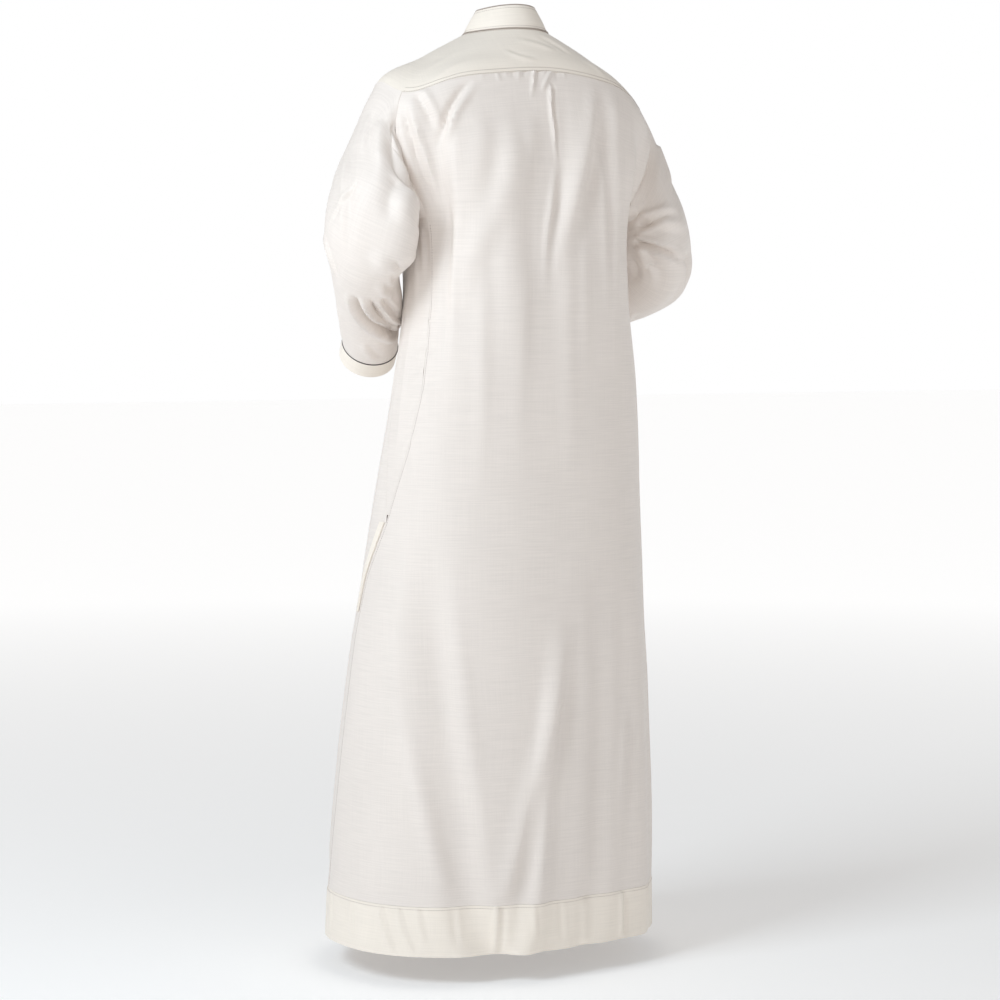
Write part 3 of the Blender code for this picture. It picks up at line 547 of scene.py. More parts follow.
# Back panel
backPanel = {
    "columns": 150, "rowStep": 0.030,
    # places (angle, level), half width, depth, kind, grows over, fades over
    "creases": [
        # gathers under the yoke seam
        ([(54, 2.0), (56, 2.2)], 0.0028, 0.0016, "sharp", 0, 0.7),
        ([(59, 2.0), (60, 2.12)], 0.0024, 0.0012, "sharp", 0, 0.8),
        ([(64, 2.0), (63.5, 2.14)], 0.0026, -0.0012, "sharp", 0, 0.8),
        ([(68, 2.0), (67, 2.22)], 0.0030, 0.0014, "sharp", 0, 0.8),
        ([(72.5, 2.0), (71, 2.16)], 0.0026, -0.0014, "sharp", 0, 0.8),
        ([(79, 2.0), (77.5, 2.25), (75, 2.5)], 0.0034, 0.0026, "sharp", 0, 0.5),
        ([(83, 2.0), (80, 2.3)], 0.0030, -0.0018, "sharp", 0, 0.7),
        ([(93, 2.0), (88, 2.2), (83, 2.38)], 0.0034, 0.0028, "sharp", 0, 0.4),
        ([(88, 2.0), (85, 2.14)], 0.0026, 0.0014, "sharp", 0, 0.8),
        ([(98, 2.0), (96, 2.2)], 0.0034, -0.0014, "sharp", 0, 0.8),
        ([(104, 2.0), (104, 2.14)], 0.0030, 0.0010, "sharp", 0, 0.8),
        ([(46, 2.0), (47, 2.18)], 0.0034, 0.0010, "sharp", 0, 0.8),
        # crease down the middle of the back
        ([(91.5, 2.22), (89.5, 2.56), (90, 3.0), (91, 3.4)], 0.0040, 0.0030, "fold", 0.15, 0.5),
        ([(91, 3.3), (86, 3.8), (82, 4.3), (80, 5.0)], 0.0085, 0.0036, "fold", 0.4, 0.6),
        # slanting folds from the shoulder blades
        ([(42, 2.08), (34.5, 2.44), (31, 2.72), (27, 3.05)], 0.0075, -0.0060, "fold", 0.3, 0.4),
        ([(20, 2.03), (25, 2.45), (27, 2.85)], 0.0080, -0.0040, "fold", 0.2, 0.5),
        ([(58, 2.4), (61.5, 3.2), (55, 3.8), (40, 4.6), (31, 5.4)], 0.022, -0.0050, "trough", 0.3, 0.4),
        ([(46, 2.5), (46, 3.2), (39, 4.0)], 0.020, 0.0035, "ridge", 0.4, 0.5),
        ([(126, 2.05), (114, 3.0), (103, 3.64), (93, 4.3), (84, 5.0)], 0.020, 0.0060, "fold", 0.25, 0.5),
        ([(74, 2.6), (73, 3.2), (66, 3.9)], 0.016, -0.0028, "trough", 0.4, 0.5),
        ([(136, 2.1), (132, 3.0), (128, 3.9)], 0.018, -0.0035, "trough", 0.3, 0.5),
        # where the back folds in beside the sleeves
        ([(15.5, 2.2), (18.5, 2.7), (20.5, 3.3), (20, 3.95)], 0.0085, -0.0050, "fold", 0.3, 0.3),
        ([(164, 2.35), (160.5, 2.8), (159, 3.4), (160, 3.9)], 0.0085, 0.0030, "fold", 0.3, 0.3),
        # long soft folds of the right back
        ([(120, 2.9), (122, 3.8), (125, 5.4)], 0.011, 0.0026, "fold", 0.3, 0.5),
        ([(134, 3.0), (132, 4.3), (130, 6.0)], 0.013, 0.0030, "ridge", 0.3, 0.5),
        ([(110, 3.6), (108, 4.6), (110, 6.2)], 0.014, -0.0026, "trough", 0.4, 0.5),
        ([(98, 4.2), (97, 5.4), (101, 7.0)], 0.018, 0.0022, "ridge", 0.4, 0.5),
        ([(70, 4.4), (66, 5.4), (64, 6.8)], 0.018, -0.0024, "trough", 0.4, 0.5),
        ([(48, 4.6), (45, 5.6), (47, 7.0)], 0.014, 0.0024, "ridge", 0.4, 0.5),
        ([(30, 3.8), (28, 4.8), (27, 5.9)], 0.009, -0.0028, "fold", 0.3, 0.5),
        # skirt
        ([(97, 7.8), (88, 8.5), (76, 9.2), (64, 10.0)], 0.020, 0.0050, "fold", 0.35, 0.15),
        ([(14, 7.0), (20, 8.2), (32, 9.1), (46, 10.0)], 0.016, -0.0045, "trough", 0.4, 0.2),
        ([(36, 7.4), (44, 8.4), (55, 9.4)], 0.018, 0.0030, "ridge", 0.4, 0.4),
        ([(131, 8.5), (128, 9.0), (125, 9.6)], 0.012, 0.0030, "fold", 0.4, 0.5),
        ([(112, 8.0), (108, 9.0), (106, 10.0)], 0.016, 0.0030, "ridge", 0.4, 0.2),
        ([(150, 7.6), (152, 8.8), (154, 10.0)], 0.018, -0.0035, "trough", 0.4, 0.3),
        ([(166, 7.2), (168, 8.6), (170, 10.0)], 0.016, 0.0030, "ridge", 0.4, 0.3),
        # where it was folded in its packet
        ([(40, 7.50), (80, 7.54), (128, 7.60)], 0.0030, 0.0008, "fold", 0.2, 0.2),
        ([(28, 8.47), (43, 8.56), (56, 8.60)], 0.0030, 0.0010, "fold", 0.2, 0.3),
        ([(84, 8.62), (100, 8.58), (124, 8.60)], 0.0030, 0.0006, "fold", 0.3, 0.3),
        # puckers beside the side seam
        ([(19, 5.28), (24, 5.20)], 0.0040, 0.0016, "sharp", 0, 0.7),
        ([(19, 5.62), (25, 5.56)], 0.0040, -0.0016, "sharp", 0, 0.7),
        ([(18.5, 6.05), (24, 5.95)], 0.0040, 0.0014, "sharp", 0, 0.7),
        ([(14, 6.42), (19, 6.34)], 0.0040, 0.0014, "sharp", 0, 0.7),
        ([(161, 5.3), (155, 5.2)], 0.0040, 0.0016, "sharp", 0, 0.7),
        ([(161, 5.8), (156, 5.72)], 0.0040, -0.0016, "sharp", 0, 0.7),
    ],
}


def panelGrid(leftEdge, rightEdge, levels, columns):
    share = np.linspace(0, 1, columns + 1)[None, :]
    return mix(leftEdge[:, None], rightEdge[:, None], share), levels[:, None] * np.ones((1, columns + 1))


def bodySheet(name, angle, level, creases, layer, nodes, around=False):
    points = bodyPoint(angle, level)
    outward = bodyOutward(angle, level)
    points = addCreases(points, outward, creases, bodyPoint)
    points = points + outward * unevenLift(points)[..., None]
    return makeSheet(name, points, layer, nodes, around)


def makeBackPanel():
    levels = closeAtEnds(yokeEdge + levelGap(yokeEdge), hemSeam - levelGap(hemSeam),
                         backPanel["rowStep"])
    edge = sideLine("back", levels) + np.where(levels >= underarm, halfGap(levels), 0)
    angle, level = panelGrid(edge, 180 - edge, levels, backPanel["columns"])
    return bodySheet("backPanel", angle, level, backPanel["creases"], "single", ["back_panel"])


back = makeBackPanel()
print("back panel made")


# Front panel
placket = {"width": 0.036, "end": 6.0, "topStitch": 0.0045, "columns": 12, "rowStep": 0.05, "lift": 0.0004}
frontPanel = {
    "neckColumns": 22, "shoulderColumns": 32, "stripColumns": 12, "armholeRows": 64, "rowStep": 0.036,
    "rowPower": 1.05, "shiftPower": 1.5,
    "creases": [
        ([(-52, 1.2), (-40, 2.4), (-26, 3.2)], 0.014, -0.0045, "fold", 0.3, 0.4),
        ([(232, 1.2), (220, 2.4), (206, 3.2)], 0.014, -0.0045, "fold", 0.3, 0.4),
        ([(-64, 1.6), (-60, 3.0), (-52, 4.4)], 0.018, 0.0040, "ridge", 0.4, 0.5),
        ([(246, 1.6), (240, 3.0), (236, 4.2)], 0.016, 0.0036, "ridge", 0.4, 0.5),
        ([(-44, 3.2), (-50, 4.4), (-54, 6.0)], 0.016, -0.0030, "trough", 0.3, 0.5),
        ([(226, 3.4), (230, 4.6), (232, 6.2)], 0.016, -0.0030, "trough", 0.3, 0.5),
        ([(-30, 4.2), (-34, 5.6), (-36, 7.2)], 0.014, 0.0030, "ridge", 0.3, 0.5),
        ([(214, 4.2), (216, 5.6), (214, 7.2)], 0.014, 0.0030, "ridge", 0.3, 0.5),
        ([(-78, 6.1), (-76, 7.4), (-72, 9.0)], 0.018, -0.0040, "fold", 0.1, 0.4),
        ([(262, 6.1), (260, 7.6), (256, 9.4)], 0.018, 0.0040, "fold", 0.1, 0.4),
        ([(-50, 7.0), (-54, 8.4), (-56, 10.0)], 0.020, 0.0050, "fold", 0.35, 0.2),
        ([(-24, 7.4), (-26, 8.8), (-28, 10.0)], 0.016, -0.0040, "trough", 0.35, 0.2),
        ([(234, 7.2), (232, 8.6), (230, 10.0)], 0.020, -0.0045, "fold", 0.35, 0.2),
        ([(206, 7.4), (208, 8.8), (206, 10.0)], 0.016, 0.0036, "ridge", 0.35, 0.2),
        ([(-88, 8.0), (-90, 9.2), (-92, 10.0)], 0.018, 0.0036, "ridge", 0.4, 0.2),
        ([(-56, 7.56), (-80, 7.54), (-116, 7.58)], 0.0030, 0.0008, "fold", 0.2, 0.2),
        ([(-40, 8.58), (-70, 8.60), (-108, 8.56)], 0.0030, 0.0008, "fold", 0.2, 0.2),
        ([(-7, 5.3), (-12, 5.2)], 0.0040, 0.0014, "sharp", 0, 0.7),
        ([(-6, 5.9), (-12, 5.82)], 0.0040, -0.0014, "sharp", 0, 0.7),
    ],
}


def stripHalfAngle(level):
    return np.degrees(np.arctan(placket["width"] / 2 / readColumn(bodySections, bodyColumns, "front", level)))


def frontColumns(level):
    # angles of the front panel's columns, one row for each level
    level = np.atleast_1d(level)
    edge = sideLine("front", np.maximum(level, yokeEdge)) - np.where(level >= underarm, halfGap(level), 0)
    strip = stripHalfAngle(level)
    count = frontPanel["neckColumns"] + frontPanel["shoulderColumns"]
    share = np.linspace(0, 1, count + 1)[None, :]
    left = mix((-90 + strip)[:, None], edge[:, None], share)
    across = np.linspace(0, 1, frontPanel["stripColumns"] + 1)[None, 1:-1]
    middle = mix((-90 - strip)[:, None], (-90 + strip)[:, None], across)
    return np.concatenate([-180 - left[:, ::-1], middle, left], axis=1)


def yokeFrontLine(level):
    return mix(yokeFrontAtNeck, sideLine("front", yokeEdge), level / yokeEdge)


def frontTop():
    strip = stripHalfAngle(neck)
    corner = yokeFrontAtNeck - halfGap(neck) * 2
    neckAngles = np.linspace(-90 + strip, corner, frontPanel["neckColumns"] + 1)
    shoulderLevels = np.linspace(0, yokeEdge, frontPanel["shoulderColumns"] + 1)[1:]
    gaps = np.where(shoulderLevels < yokeEdge, halfGap(shoulderLevels) * 2, 0)
    left = np.concatenate([neckAngles, yokeFrontLine(shoulderLevels) - gaps])
    leftLevels = np.concatenate([np.zeros(len(neckAngles)), shoulderLevels])
    middle = np.linspace(-90 - strip, -90 + strip, frontPanel["stripColumns"] + 1)[1:-1]
    angles = np.concatenate([-180 - left[::-1], middle, left])
    levels = np.concatenate([leftLevels[::-1], np.zeros(len(middle)), leftLevels])
    return angles, levels


def frontGrid():
    topAngles, topLevels = frontTop()
    topLevels[0] = topLevels[-1] = yokeEdge + levelGap(yokeEdge)
    shift = topAngles - np.array([frontColumns(level)[0][at] for at, level in enumerate(topLevels)])
    rows = frontPanel["armholeRows"]
    angles, levels = [], []
    for row in range(rows + 1):
        share = (row / rows) ** frontPanel["rowPower"]
        level = mix(topLevels, underarm, share)
        columns = np.array([frontColumns(one)[0][at] for at, one in enumerate(level)])
        angles.append(columns + shift * (1 - share) ** frontPanel["shiftPower"])
        levels.append(level)
    below = closeAtEnds(underarm, hemSeam - levelGap(hemSeam), frontPanel["rowStep"])[1:]
    angles += list(frontColumns(below))
    levels += [np.full(len(topAngles), level) for level in below]
    return np.array(angles), np.array(levels)


frontAngles, frontLevels = frontGrid()
front = bodySheet("frontPanel", frontAngles, frontLevels, frontPanel["creases"], "single",
                  ["front_panel"])
print("front panel made")


# Yoke, side gussets and hem band
yoke = {
    "shoulderColumns": 26, "backColumns": 120, "rowStep": 0.045,
    "creases": [
        ([(58, 1.05), (70, 1.5), (86, 1.72)], 0.0060, 0.0012, "fold", 0.4, 0.4),
        ([(70, 0.66), (92, 0.86), (110, 1.12)], 0.0070, 0.0012, "fold", 0.4, 0.4),
        ([(96, 0.45), (112, 0.75), (122, 1.2)], 0.0060, -0.0010, "fold", 0.4, 0.4),
        ([(128, 1.2), (134, 1.55), (136, 1.9)], 0.0060, 0.0012, "fold", 0.4, 0.4),
        ([(36, 1.4), (30, 1.7), (24, 1.95)], 0.0070, 0.0010, "fold", 0.4, 0.4),
        ([(150, 0.9), (160, 1.3), (164, 1.8)], 0.0090, -0.0016, "trough", 0.4, 0.4),
        ([(30, 0.8), (20, 1.2), (14, 1.8)], 0.0090, -0.0014, "trough", 0.4, 0.4),
    ],
}


def makeYoke():
    corner = sideLine("back", yokeEdge)
    frontCorner = sideLine("front", yokeEdge)
    left = np.linspace(frontCorner, corner, yoke["shoulderColumns"] + 1)[:-1]
    edge = np.concatenate([left, np.linspace(corner, 180 - corner, yoke["backColumns"] + 1),
                           180 - left[::-1]])
    start = np.linspace(yokeFrontAtNeck, 180 - yokeFrontAtNeck, len(edge))
    share = closeAtEnds(0, yokeEdge, yoke["rowStep"])[:, None] / yokeEdge
    angle = mix(start[None, :], edge[None, :], share)
    level = share * yokeEdge * np.ones((1, len(edge)))
    return bodySheet("yokeCloth", angle, level, yoke["creases"], "double", ["yoke"])


yokePiece = makeYoke()

gusset = {
    "columns": 26, "rowStep": 0.030,
    "creases": [
        ([(15.5, 5.30), (9, 5.36)], 0.0045, 0.0018, "sharp", 0, 0.7),
        ([(15.5, 5.55), (8, 5.62)], 0.0045, -0.0018, "sharp", 0, 0.7),
        ([(15.5, 5.85), (9, 5.95)], 0.0045, 0.0016, "sharp", 0, 0.7),
        ([(14, 6.15), (8, 6.25)], 0.0045, -0.0016, "sharp", 0, 0.7),
        ([(11, 6.45), (6, 6.52)], 0.0045, 0.0016, "sharp", 0, 0.7),
        ([(6, 4.2), (6, 4.8), (4, 5.3)], 0.010, -0.0030, "trough", 0.2, 0.6),
        ([(12, 4.1), (12, 4.9)], 0.007, 0.0022, "fold", 0.2, 0.6),
        ([(2, 5.2), (4, 6.0), (4, 6.6)], 0.010, 0.0022, "ridge", 0.4, 0.5),
    ],
}


def makeGusset(side):
    levels = closeAtEnds(underarm, gussetTip, gusset["rowStep"])
    backEdge = sideLine("back", levels) - halfGap(levels)
    frontEdge = sideLine("front", levels) + halfGap(levels)
    offset, level = panelGrid(backEdge, frontEdge, levels, gusset["columns"])
    if side == "left":
        offset = offset[:, ::-1]
    creases = [([(onSide(side, offsetAt), at) for offsetAt, at in places], *rest)
               for places, *rest in gusset["creases"]]
    return bodySheet("gusset" + side.title(), onSide(side, offset), level, creases, "single",
                     ["side_gusset_" + side])


hem = {
    "columns": 420, "firstAngle": -16,
    "rows": (0.0, 0.012, 0.04, 0.12, 0.22, 0.34, 0.46, 0.58, 0.70, 0.82, 0.90, 0.96, 0.985, 1.0),
    "creases": [
        # slanting puckers where the turned-up cloth was eased in
        ([(20, 10.02), (24, 10.5), (27, 10.95)], 0.0060, 0.0024, "fold", 0.1, 0.3),
        ([(27, 10.02), (31, 10.5), (34, 10.9)], 0.0055, 0.0020, "fold", 0.1, 0.4),
        ([(34, 10.02), (38, 10.6)], 0.0055, 0.0016, "fold", 0.1, 0.5),
        ([(46, 10.02), (49, 10.7)], 0.0060, -0.0014, "fold", 0.1, 0.5),
        ([(63, 10.0), (62.5, 10.95)], 0.0070, 0.0028, "fold", 0.1, 0.2),
        ([(78, 10.02), (80, 10.6)], 0.0055, 0.0012, "fold", 0.1, 0.5),
        ([(92, 10.02), (93, 10.7)], 0.0060, -0.0014, "fold", 0.1, 0.5),
        ([(106, 10.0), (106, 10.95)], 0.0090, 0.0024, "ridge", 0.1, 0.2),
        ([(125, 10.0), (124, 10.9)], 0.0070, 0.0028, "fold", 0.1, 0.3),
        ([(140, 10.02), (143, 10.8)], 0.0060, 0.0014, "fold", 0.1, 0.5),
        ([(160, 10.02), (163, 10.7)], 0.0060, -0.0016, "fold", 0.1, 0.5),
        ([(182, 10.02), (184, 10.8)], 0.0060, 0.0018, "fold", 0.1, 0.4),
        ([(206, 10.0), (206, 10.95)], 0.0090, 0.0030, "ridge", 0.1, 0.2),
        ([(230, 10.0), (229, 10.9)], 0.0100, -0.0030, "fold", 0.1, 0.2),
        ([(250, 10.02), (254, 10.7)], 0.0060, 0.0016, "fold", 0.1, 0.5),
        ([(268, 10.0), (268, 10.95)], 0.0090, 0.0030, "ridge", 0.1, 0.2),
        ([(288, 10.02), (291, 10.8)], 0.0060, 0.0018, "fold", 0.1, 0.5),
        ([(304, 10.0), (304, 10.95)], 0.0100, 0.0034, "fold", 0.1, 0.2),
        ([(332, 10.0), (332, 10.95)], 0.0100, -0.0030, "trough", 0.1, 0.2),
        ([(350, 10.02), (354, 10.7)], 0.0060, 0.0016, "fold", 0.1, 0.5),
        ([(6, 10.02), (9, 10.8)], 0.0060, 0.0018, "fold", 0.1, 0.5),
    ],
}


def makeHem():
    first = hem["firstAngle"]
    angles = np.linspace(first, first + 360, hem["columns"], endpoint=False)[None, :]
    level = mix(hemSeam, hemEdge, np.array(hem["rows"]))[:, None]
    angle, level = angles + level * 0, level + angles * 0
    return bodySheet("hemBand", angle, level, hem["creases"], "double", ["hem_band"], around=True)


for side in ("left", "right"):
    piece = makeGusset(side)
hemPiece = makeHem()
print("yoke, gussets and hem band made")


# Sleeves and cuffs
sleeve = {
    "armholeCounts": (34, 52, 22, 52), "capRows": 16, "rowStep": 0.042,
    "seamShare": 0.35, "seamPush": 0.007,
    "tuck": 0.0006,                      # seam allowance under the edge of the body cloth
    "softenedTo": 1.2, "softening": 150, "lastSoftening": 1,
    "seamWaves": (0.0, 0.3, 0.6, 0.9),   # the seam itself stays where the body's edge is
    "creases": {
        "left": [
            # deep creases in the crook of the elbow
            ([(62, 4.6), (74, 5.1), (98, 5.7), (146, 6.5), (180, 6.7)], 0.0070, 0.0135, "gully", 0.25, 0.3),
            ([(84, 4.5), (102, 5.1), (120, 5.7), (150, 6.3), (185, 6.4)], 0.0055, 0.0115, "gully", 0.3, 0.3),
            ([(112, 4.6), (128, 5.2), (150, 5.8)], 0.0050, 0.0050, "gully", 0.3, 0.4),
            ([(104, 3.4), (113, 3.6), (126, 3.75)], 0.0040, 0.0050, "gully", 0.3, 0.4),
            ([(104, 3.9), (116, 4.2), (134, 4.3)], 0.0060, 0.0040, "fold", 0.3, 0.4),
            ([(94, 4.0), (110, 4.5), (140, 4.8)], 0.0075, 0.0045, "fold", 0.3, 0.4),
            ([(80, 3.3), (96, 3.7), (112, 3.9)], 0.012, -0.0050, "trough", 0.4, 0.4),
            # straight creases of the upper sleeve
            ([(36, 1.9), (24, 2.5), (2, 3.3)], 0.0040, 0.0022, "fold", 0.3, 0.4),
            ([(-22, 3.7), (8, 4.1), (30, 4.5)], 0.0050, 0.0040, "fold", 0.3, 0.4),
            ([(-18, 0.6), (10, 1.8), (28, 2.8), (34, 3.9)], 0.0100, 0.0030, "fold", 0.3, 0.4),
            ([(34, 0.1), (52, 1.0), (66, 2.0)], 0.0120, 0.0030, "fold", 0.2, 0.5),
            ([(60, 0.1), (84, 0.9), (100, 1.9)], 0.0130, -0.0040, "fold", 0.2, 0.5),
            ([(10, 0.1), (22, 0.9), (36, 1.5)], 0.0080, 0.0018, "fold", 0.2, 0.5),
            ([(86, 1.3), (84, 1.9), (92, 2.7)], 0.016, -0.0060, "fold", 0.3, 0.4),
            ([(300, 0.5), (292, 1.8), (300, 3.2)], 0.0140, -0.0040, "fold", 0.3, 0.5),
            ([(262, 0.5), (250, 1.8), (246, 3.0)], 0.0140, 0.0040, "ridge", 0.3, 0.5),
            ([(300, 4.0), (268, 4.6), (236, 4.9)], 0.0080, 0.0070, "gully", 0.3, 0.4),
            ([(306, 4.6), (270, 5.3), (240, 5.4)], 0.0070, 0.0060, "gully", 0.3, 0.4),
            ([(330, 5.0), (320, 6.2), (300, 7.6)], 0.0090, 0.0030, "fold", 0.3, 0.4),
            ([(20, 5.4), (30, 6.4), (34, 7.8)], 0.0100, 0.0026, "ridge", 0.3, 0.4),
            ([(80, 6.6), (96, 7.2), (120, 7.7)], 0.0070, 0.0022, "fold", 0.3, 0.4),
        ],
        "right": [
            ([(150, 1.0), (128, 1.25), (106, 1.55), (88, 1.9)], 0.0070, 0.0062, "gully", 0.2, 0.4),
            ([(146, 0.9), (118, 1.9), (80, 2.6)], 0.0120, -0.0040, "fold", 0.2, 0.5),
            ([(156, 2.0), (132, 2.45), (110, 2.8), (92, 3.15)], 0.0056, 0.0085, "gully", 0.15, 0.4),
            ([(150, 2.3), (141, 3.1), (132, 3.9)], 0.0085, 0.0042, "fold", 0.3, 0.4),
            ([(164, 2.6), (158, 3.4), (156, 4.0)], 0.0090, 0.0040, "gully", 0.3, 0.4),
            ([(96, 3.2), (80, 3.7), (60, 4.0)], 0.0100, 0.0040, "fold", 0.3, 0.4),
            ([(20, 0.1), (34, 0.6), (50, 1.2)], 0.0070, 0.0040, "fold", 0.1, 0.5),
            ([(44, 0.1), (58, 0.7), (78, 1.1)], 0.0060, 0.0040, "fold", 0.1, 0.5),
            ([(10, 1.2), (24, 2.2), (30, 3.2)], 0.0120, 0.0028, "ridge", 0.3, 0.4),
            ([(120, 4.6), (100, 5.2), (70, 5.8)], 0.0090, 0.0040, "fold", 0.3, 0.4),
            ([(300, 0.5), (292, 1.8), (300, 3.2)], 0.0140, -0.0040, "fold", 0.3, 0.5),
            ([(304, 4.0), (270, 4.6), (232, 4.9)], 0.0080, 0.0080, "gully", 0.3, 0.4),
            ([(310, 4.7), (276, 5.4), (240, 5.4)], 0.0070, 0.0070, "gully", 0.3, 0.4),
            ([(286, 3.3), (262, 3.8), (236, 4.1)], 0.0070, 0.0050, "gully", 0.3, 0.4),
            ([(330, 5.2), (320, 6.4), (300, 7.6)], 0.0090, 0.0030, "fold", 0.3, 0.4),
            ([(40, 5.4), (44, 6.4), (50, 7.8)], 0.0100, 0.0026, "ridge", 0.3, 0.4),
        ],
    },
}


def armhole(side):
    # angles and levels round an armhole, from its top front corner backwards
    top, backCount, under, frontCount = sleeve["armholeCounts"]
    corner = [sideLine(name, yokeEdge) for name in ("front", "back")]
    offsets = [np.linspace(corner[0], corner[1], top + 1)[:-1]]
    levels = [np.full(top, yokeEdge)]
    down = np.linspace(yokeEdge, underarm, backCount + 1)[:-1]
    offsets.append(sideLine("back", down))
    levels.append(down)
    offsets.append(np.linspace(sideLine("back", underarm), sideLine("front", underarm), under + 1)[:-1])
    levels.append(np.full(under, underarm))
    up = np.linspace(underarm, yokeEdge, frontCount + 1)[:-1]
    offsets.append(sideLine("front", up))
    levels.append(up)
    return onSide(side, np.concatenate(offsets)), np.concatenate(levels)


def sleeveLine(side, line, place):
    return np.stack([readColumn(sleeveRows[side], sleeveColumns, line + axis, place)
                     for axis in ("X", "Y", "Z")], axis=-1)


def sleeveFrame(side, place):
    place = np.asarray(place, float)

    def middleAt(near):
        return (sleeveLine(side, "outer", near) + sleeveLine(side, "inner", near)) / 2

    outward = (sleeveLine(side, "outer", place) - sleeveLine(side, "inner", place)) / 2
    along = middleAt(np.minimum(place + 0.05, wrist)) - middleAt(np.maximum(place - 0.05, 0))
    square = (outward ** 2).sum(axis=-1, keepdims=True)
    along = unit(along - outward * (along * outward).sum(axis=-1, keepdims=True) / square)
    sign = 1 if side == "left" else -1
    depth = readColumn(sleeveRows[side], sleeveColumns, "back", place)[..., None]
    return middleAt(place), outward, np.cross(unit(outward), along) * sign * depth, along


def sleevePoint(side, turn, place, longer=0.0):
    turn, place = np.broadcast_arrays(np.asarray(turn, float), np.asarray(place, float))
    middle, outward, backward, along = sleeveFrame(side, place)
    angle = np.radians(turn)[..., None]
    radius = outward * np.cos(angle) + backward * np.sin(angle)
    radius = radius + unit(radius) * foldDepth(sleeveFolds[side], turn, place)[..., None]
    return middle + along * longer + radius


def sleeveTurns(side):
    angles, levels = armhole(side)
    start = bodyPoint(angles, levels)
    middle, outward, backward, _ = sleeveFrame(side, 0.0)
    turns = np.degrees(np.arctan2(((start - middle) * backward).sum(axis=1) / (backward ** 2).sum(),
                                  ((start - middle) * outward).sum(axis=1) / (outward ** 2).sum()))
    return start, turns


def soften(points, weights, passes):
    # evens out a ring grid; the first and last rings stay in place
    points = points.copy()
    share = weights[1:-1, None, None] * 0.5
    for _ in range(passes):
        beside = (np.roll(points, 1, axis=1) + np.roll(points, -1, axis=1))[1:-1]
        middle = (beside + points[:-2] + points[2:]) / 4
        points[1:-1] += share * (middle - points[1:-1])
    return points


def makeSleeve(side):
    start, turns = sleeveTurns(side)
    first = sleevePoint(side, turns, 0.0)
    push = np.array([sleeve["seamPush"] * (1 if side == "left" else -1), 0, 0])
    seam = mix(start, first, sleeve["seamShare"]) + push
    start = start - unit(seam - start) * sleeve["tuck"] - bodyOutward(*armhole(side)) * sleeve["tuck"]
    control = [start, seam, first, sleevePoint(side, turns, 0.67)]
    rings = []
    for place in np.linspace(0, 2, sleeve["capRows"] + 1)[:-1]:  # from the seam out to the first ring
        at = int(place)
        rings.append(curveStep(control[max(at - 1, 0)], control[at], control[at + 1],
                               control[min(at + 2, 3)], place - at))
    places = np.linspace(0, wrist, int(wrist / sleeve["rowStep"]) + 1)
    points = np.concatenate([np.array(rings), sleevePoint(side, turns[None, :], places[:, None])])
    rows = np.concatenate([np.linspace(-1, 0, sleeve["capRows"], endpoint=False), places])
    points = soften(points, 1 - smooth(rows / sleeve["softenedTo"]), sleeve["softening"])
    outward = gridNormals(points, around=True)
    centre = points.mean(axis=1, keepdims=True)
    outward = outward * np.sign((outward * (points - centre)).sum(axis=-1, keepdims=True))
    points = addCreases(points, outward, sleeve["creases"][side],
                        lambda turn, place: sleevePoint(side, turn, place))
    points = soften(points, np.ones(len(points)), sleeve["lastSoftening"])
    hold = np.ones((len(points), 1))
    hold[:len(sleeve["seamWaves"]), 0] = sleeve["seamWaves"]
    points = points + outward * (unevenLift(points) * hold)[..., None]
    if side == "left":
        points = points[:, ::-1]
    return makeSheet("sleeve" + side.title(), points, "single", ["sleeve_" + side], around=True)


# Places of the cuff's rings, in metres past the wrist
cuff = {"rings": (robe["seamGap"], 0.0012, 0.003, 0.007, 0.012, 0.018, 0.024, 0.027, 0.029, 0.030),
        "pipingLift": 0.0006}


def makeCuff(side):
    _, turns = sleeveTurns(side)
    points = np.array([sleevePoint(side, turns, wrist, longer) for longer in cuff["rings"]])
    if side == "left":
        points = points[:, ::-1]
    return makeSheet("cuff" + side.title(), points, "double", ["cuff_" + side], around=True)


def makeCord(name, points, radius, material, nodes, closed=False):
    curve = bpy.data.curves.new(name, "CURVE")
    curve.dimensions = "3D"
    curve.bevel_depth = radius
    curve.bevel_resolution = 3
    curve.use_fill_caps = not closed
    line = curve.splines.new("POLY")
    line.points.add(len(points) - 1)
    for at, point in zip(line.points, points):
        at.co = (*point, 1)
    line.use_cyclic_u = closed
    return finishPiece(addObject(name, curve), material, nodes)


for side in ("left", "right"):
    piece = makeSleeve(side)
    piece = makeCuff(side)
    ring = sleevePoint(side, sleeveTurns(side)[1], wrist)
    away = unit(ring - ring.mean(axis=0))
    makeCord("cuffPiping" + side.title(), ring + away * (robe["pipingRadius"] + cuff["pipingLift"]),
             robe["pipingRadius"], cuffPipingMaterial, ["cuff_piping_" + side], closed=True)
print("sleeves and cuffs made")


# Collar
collar = {
    "backHeight": 0.037, "frontHeight": 0.033, "lean": 0.018, "leanPower": 1.15,
    "columns": 150, "rows": (0, 0.03, 0.08, 0.16, 0.28, 0.42, 0.56, 0.70, 0.82, 0.90, 0.96, 1.0),
    "openRadius": 0.072,         # of the neck at the front opening
    "swell": 0.0006,
    "tabStart": 0.14, "tabAngles": (-103.2, -76.8), "tabColumns": 16, "tabRows": 14,
    "topInset": 0.0015, "topLift": 0.0004,
    "baseAngles": (-80, 260), "baseLevelness": 0.75, "baseLift": 1.5,   # lift in radii of the piping
}


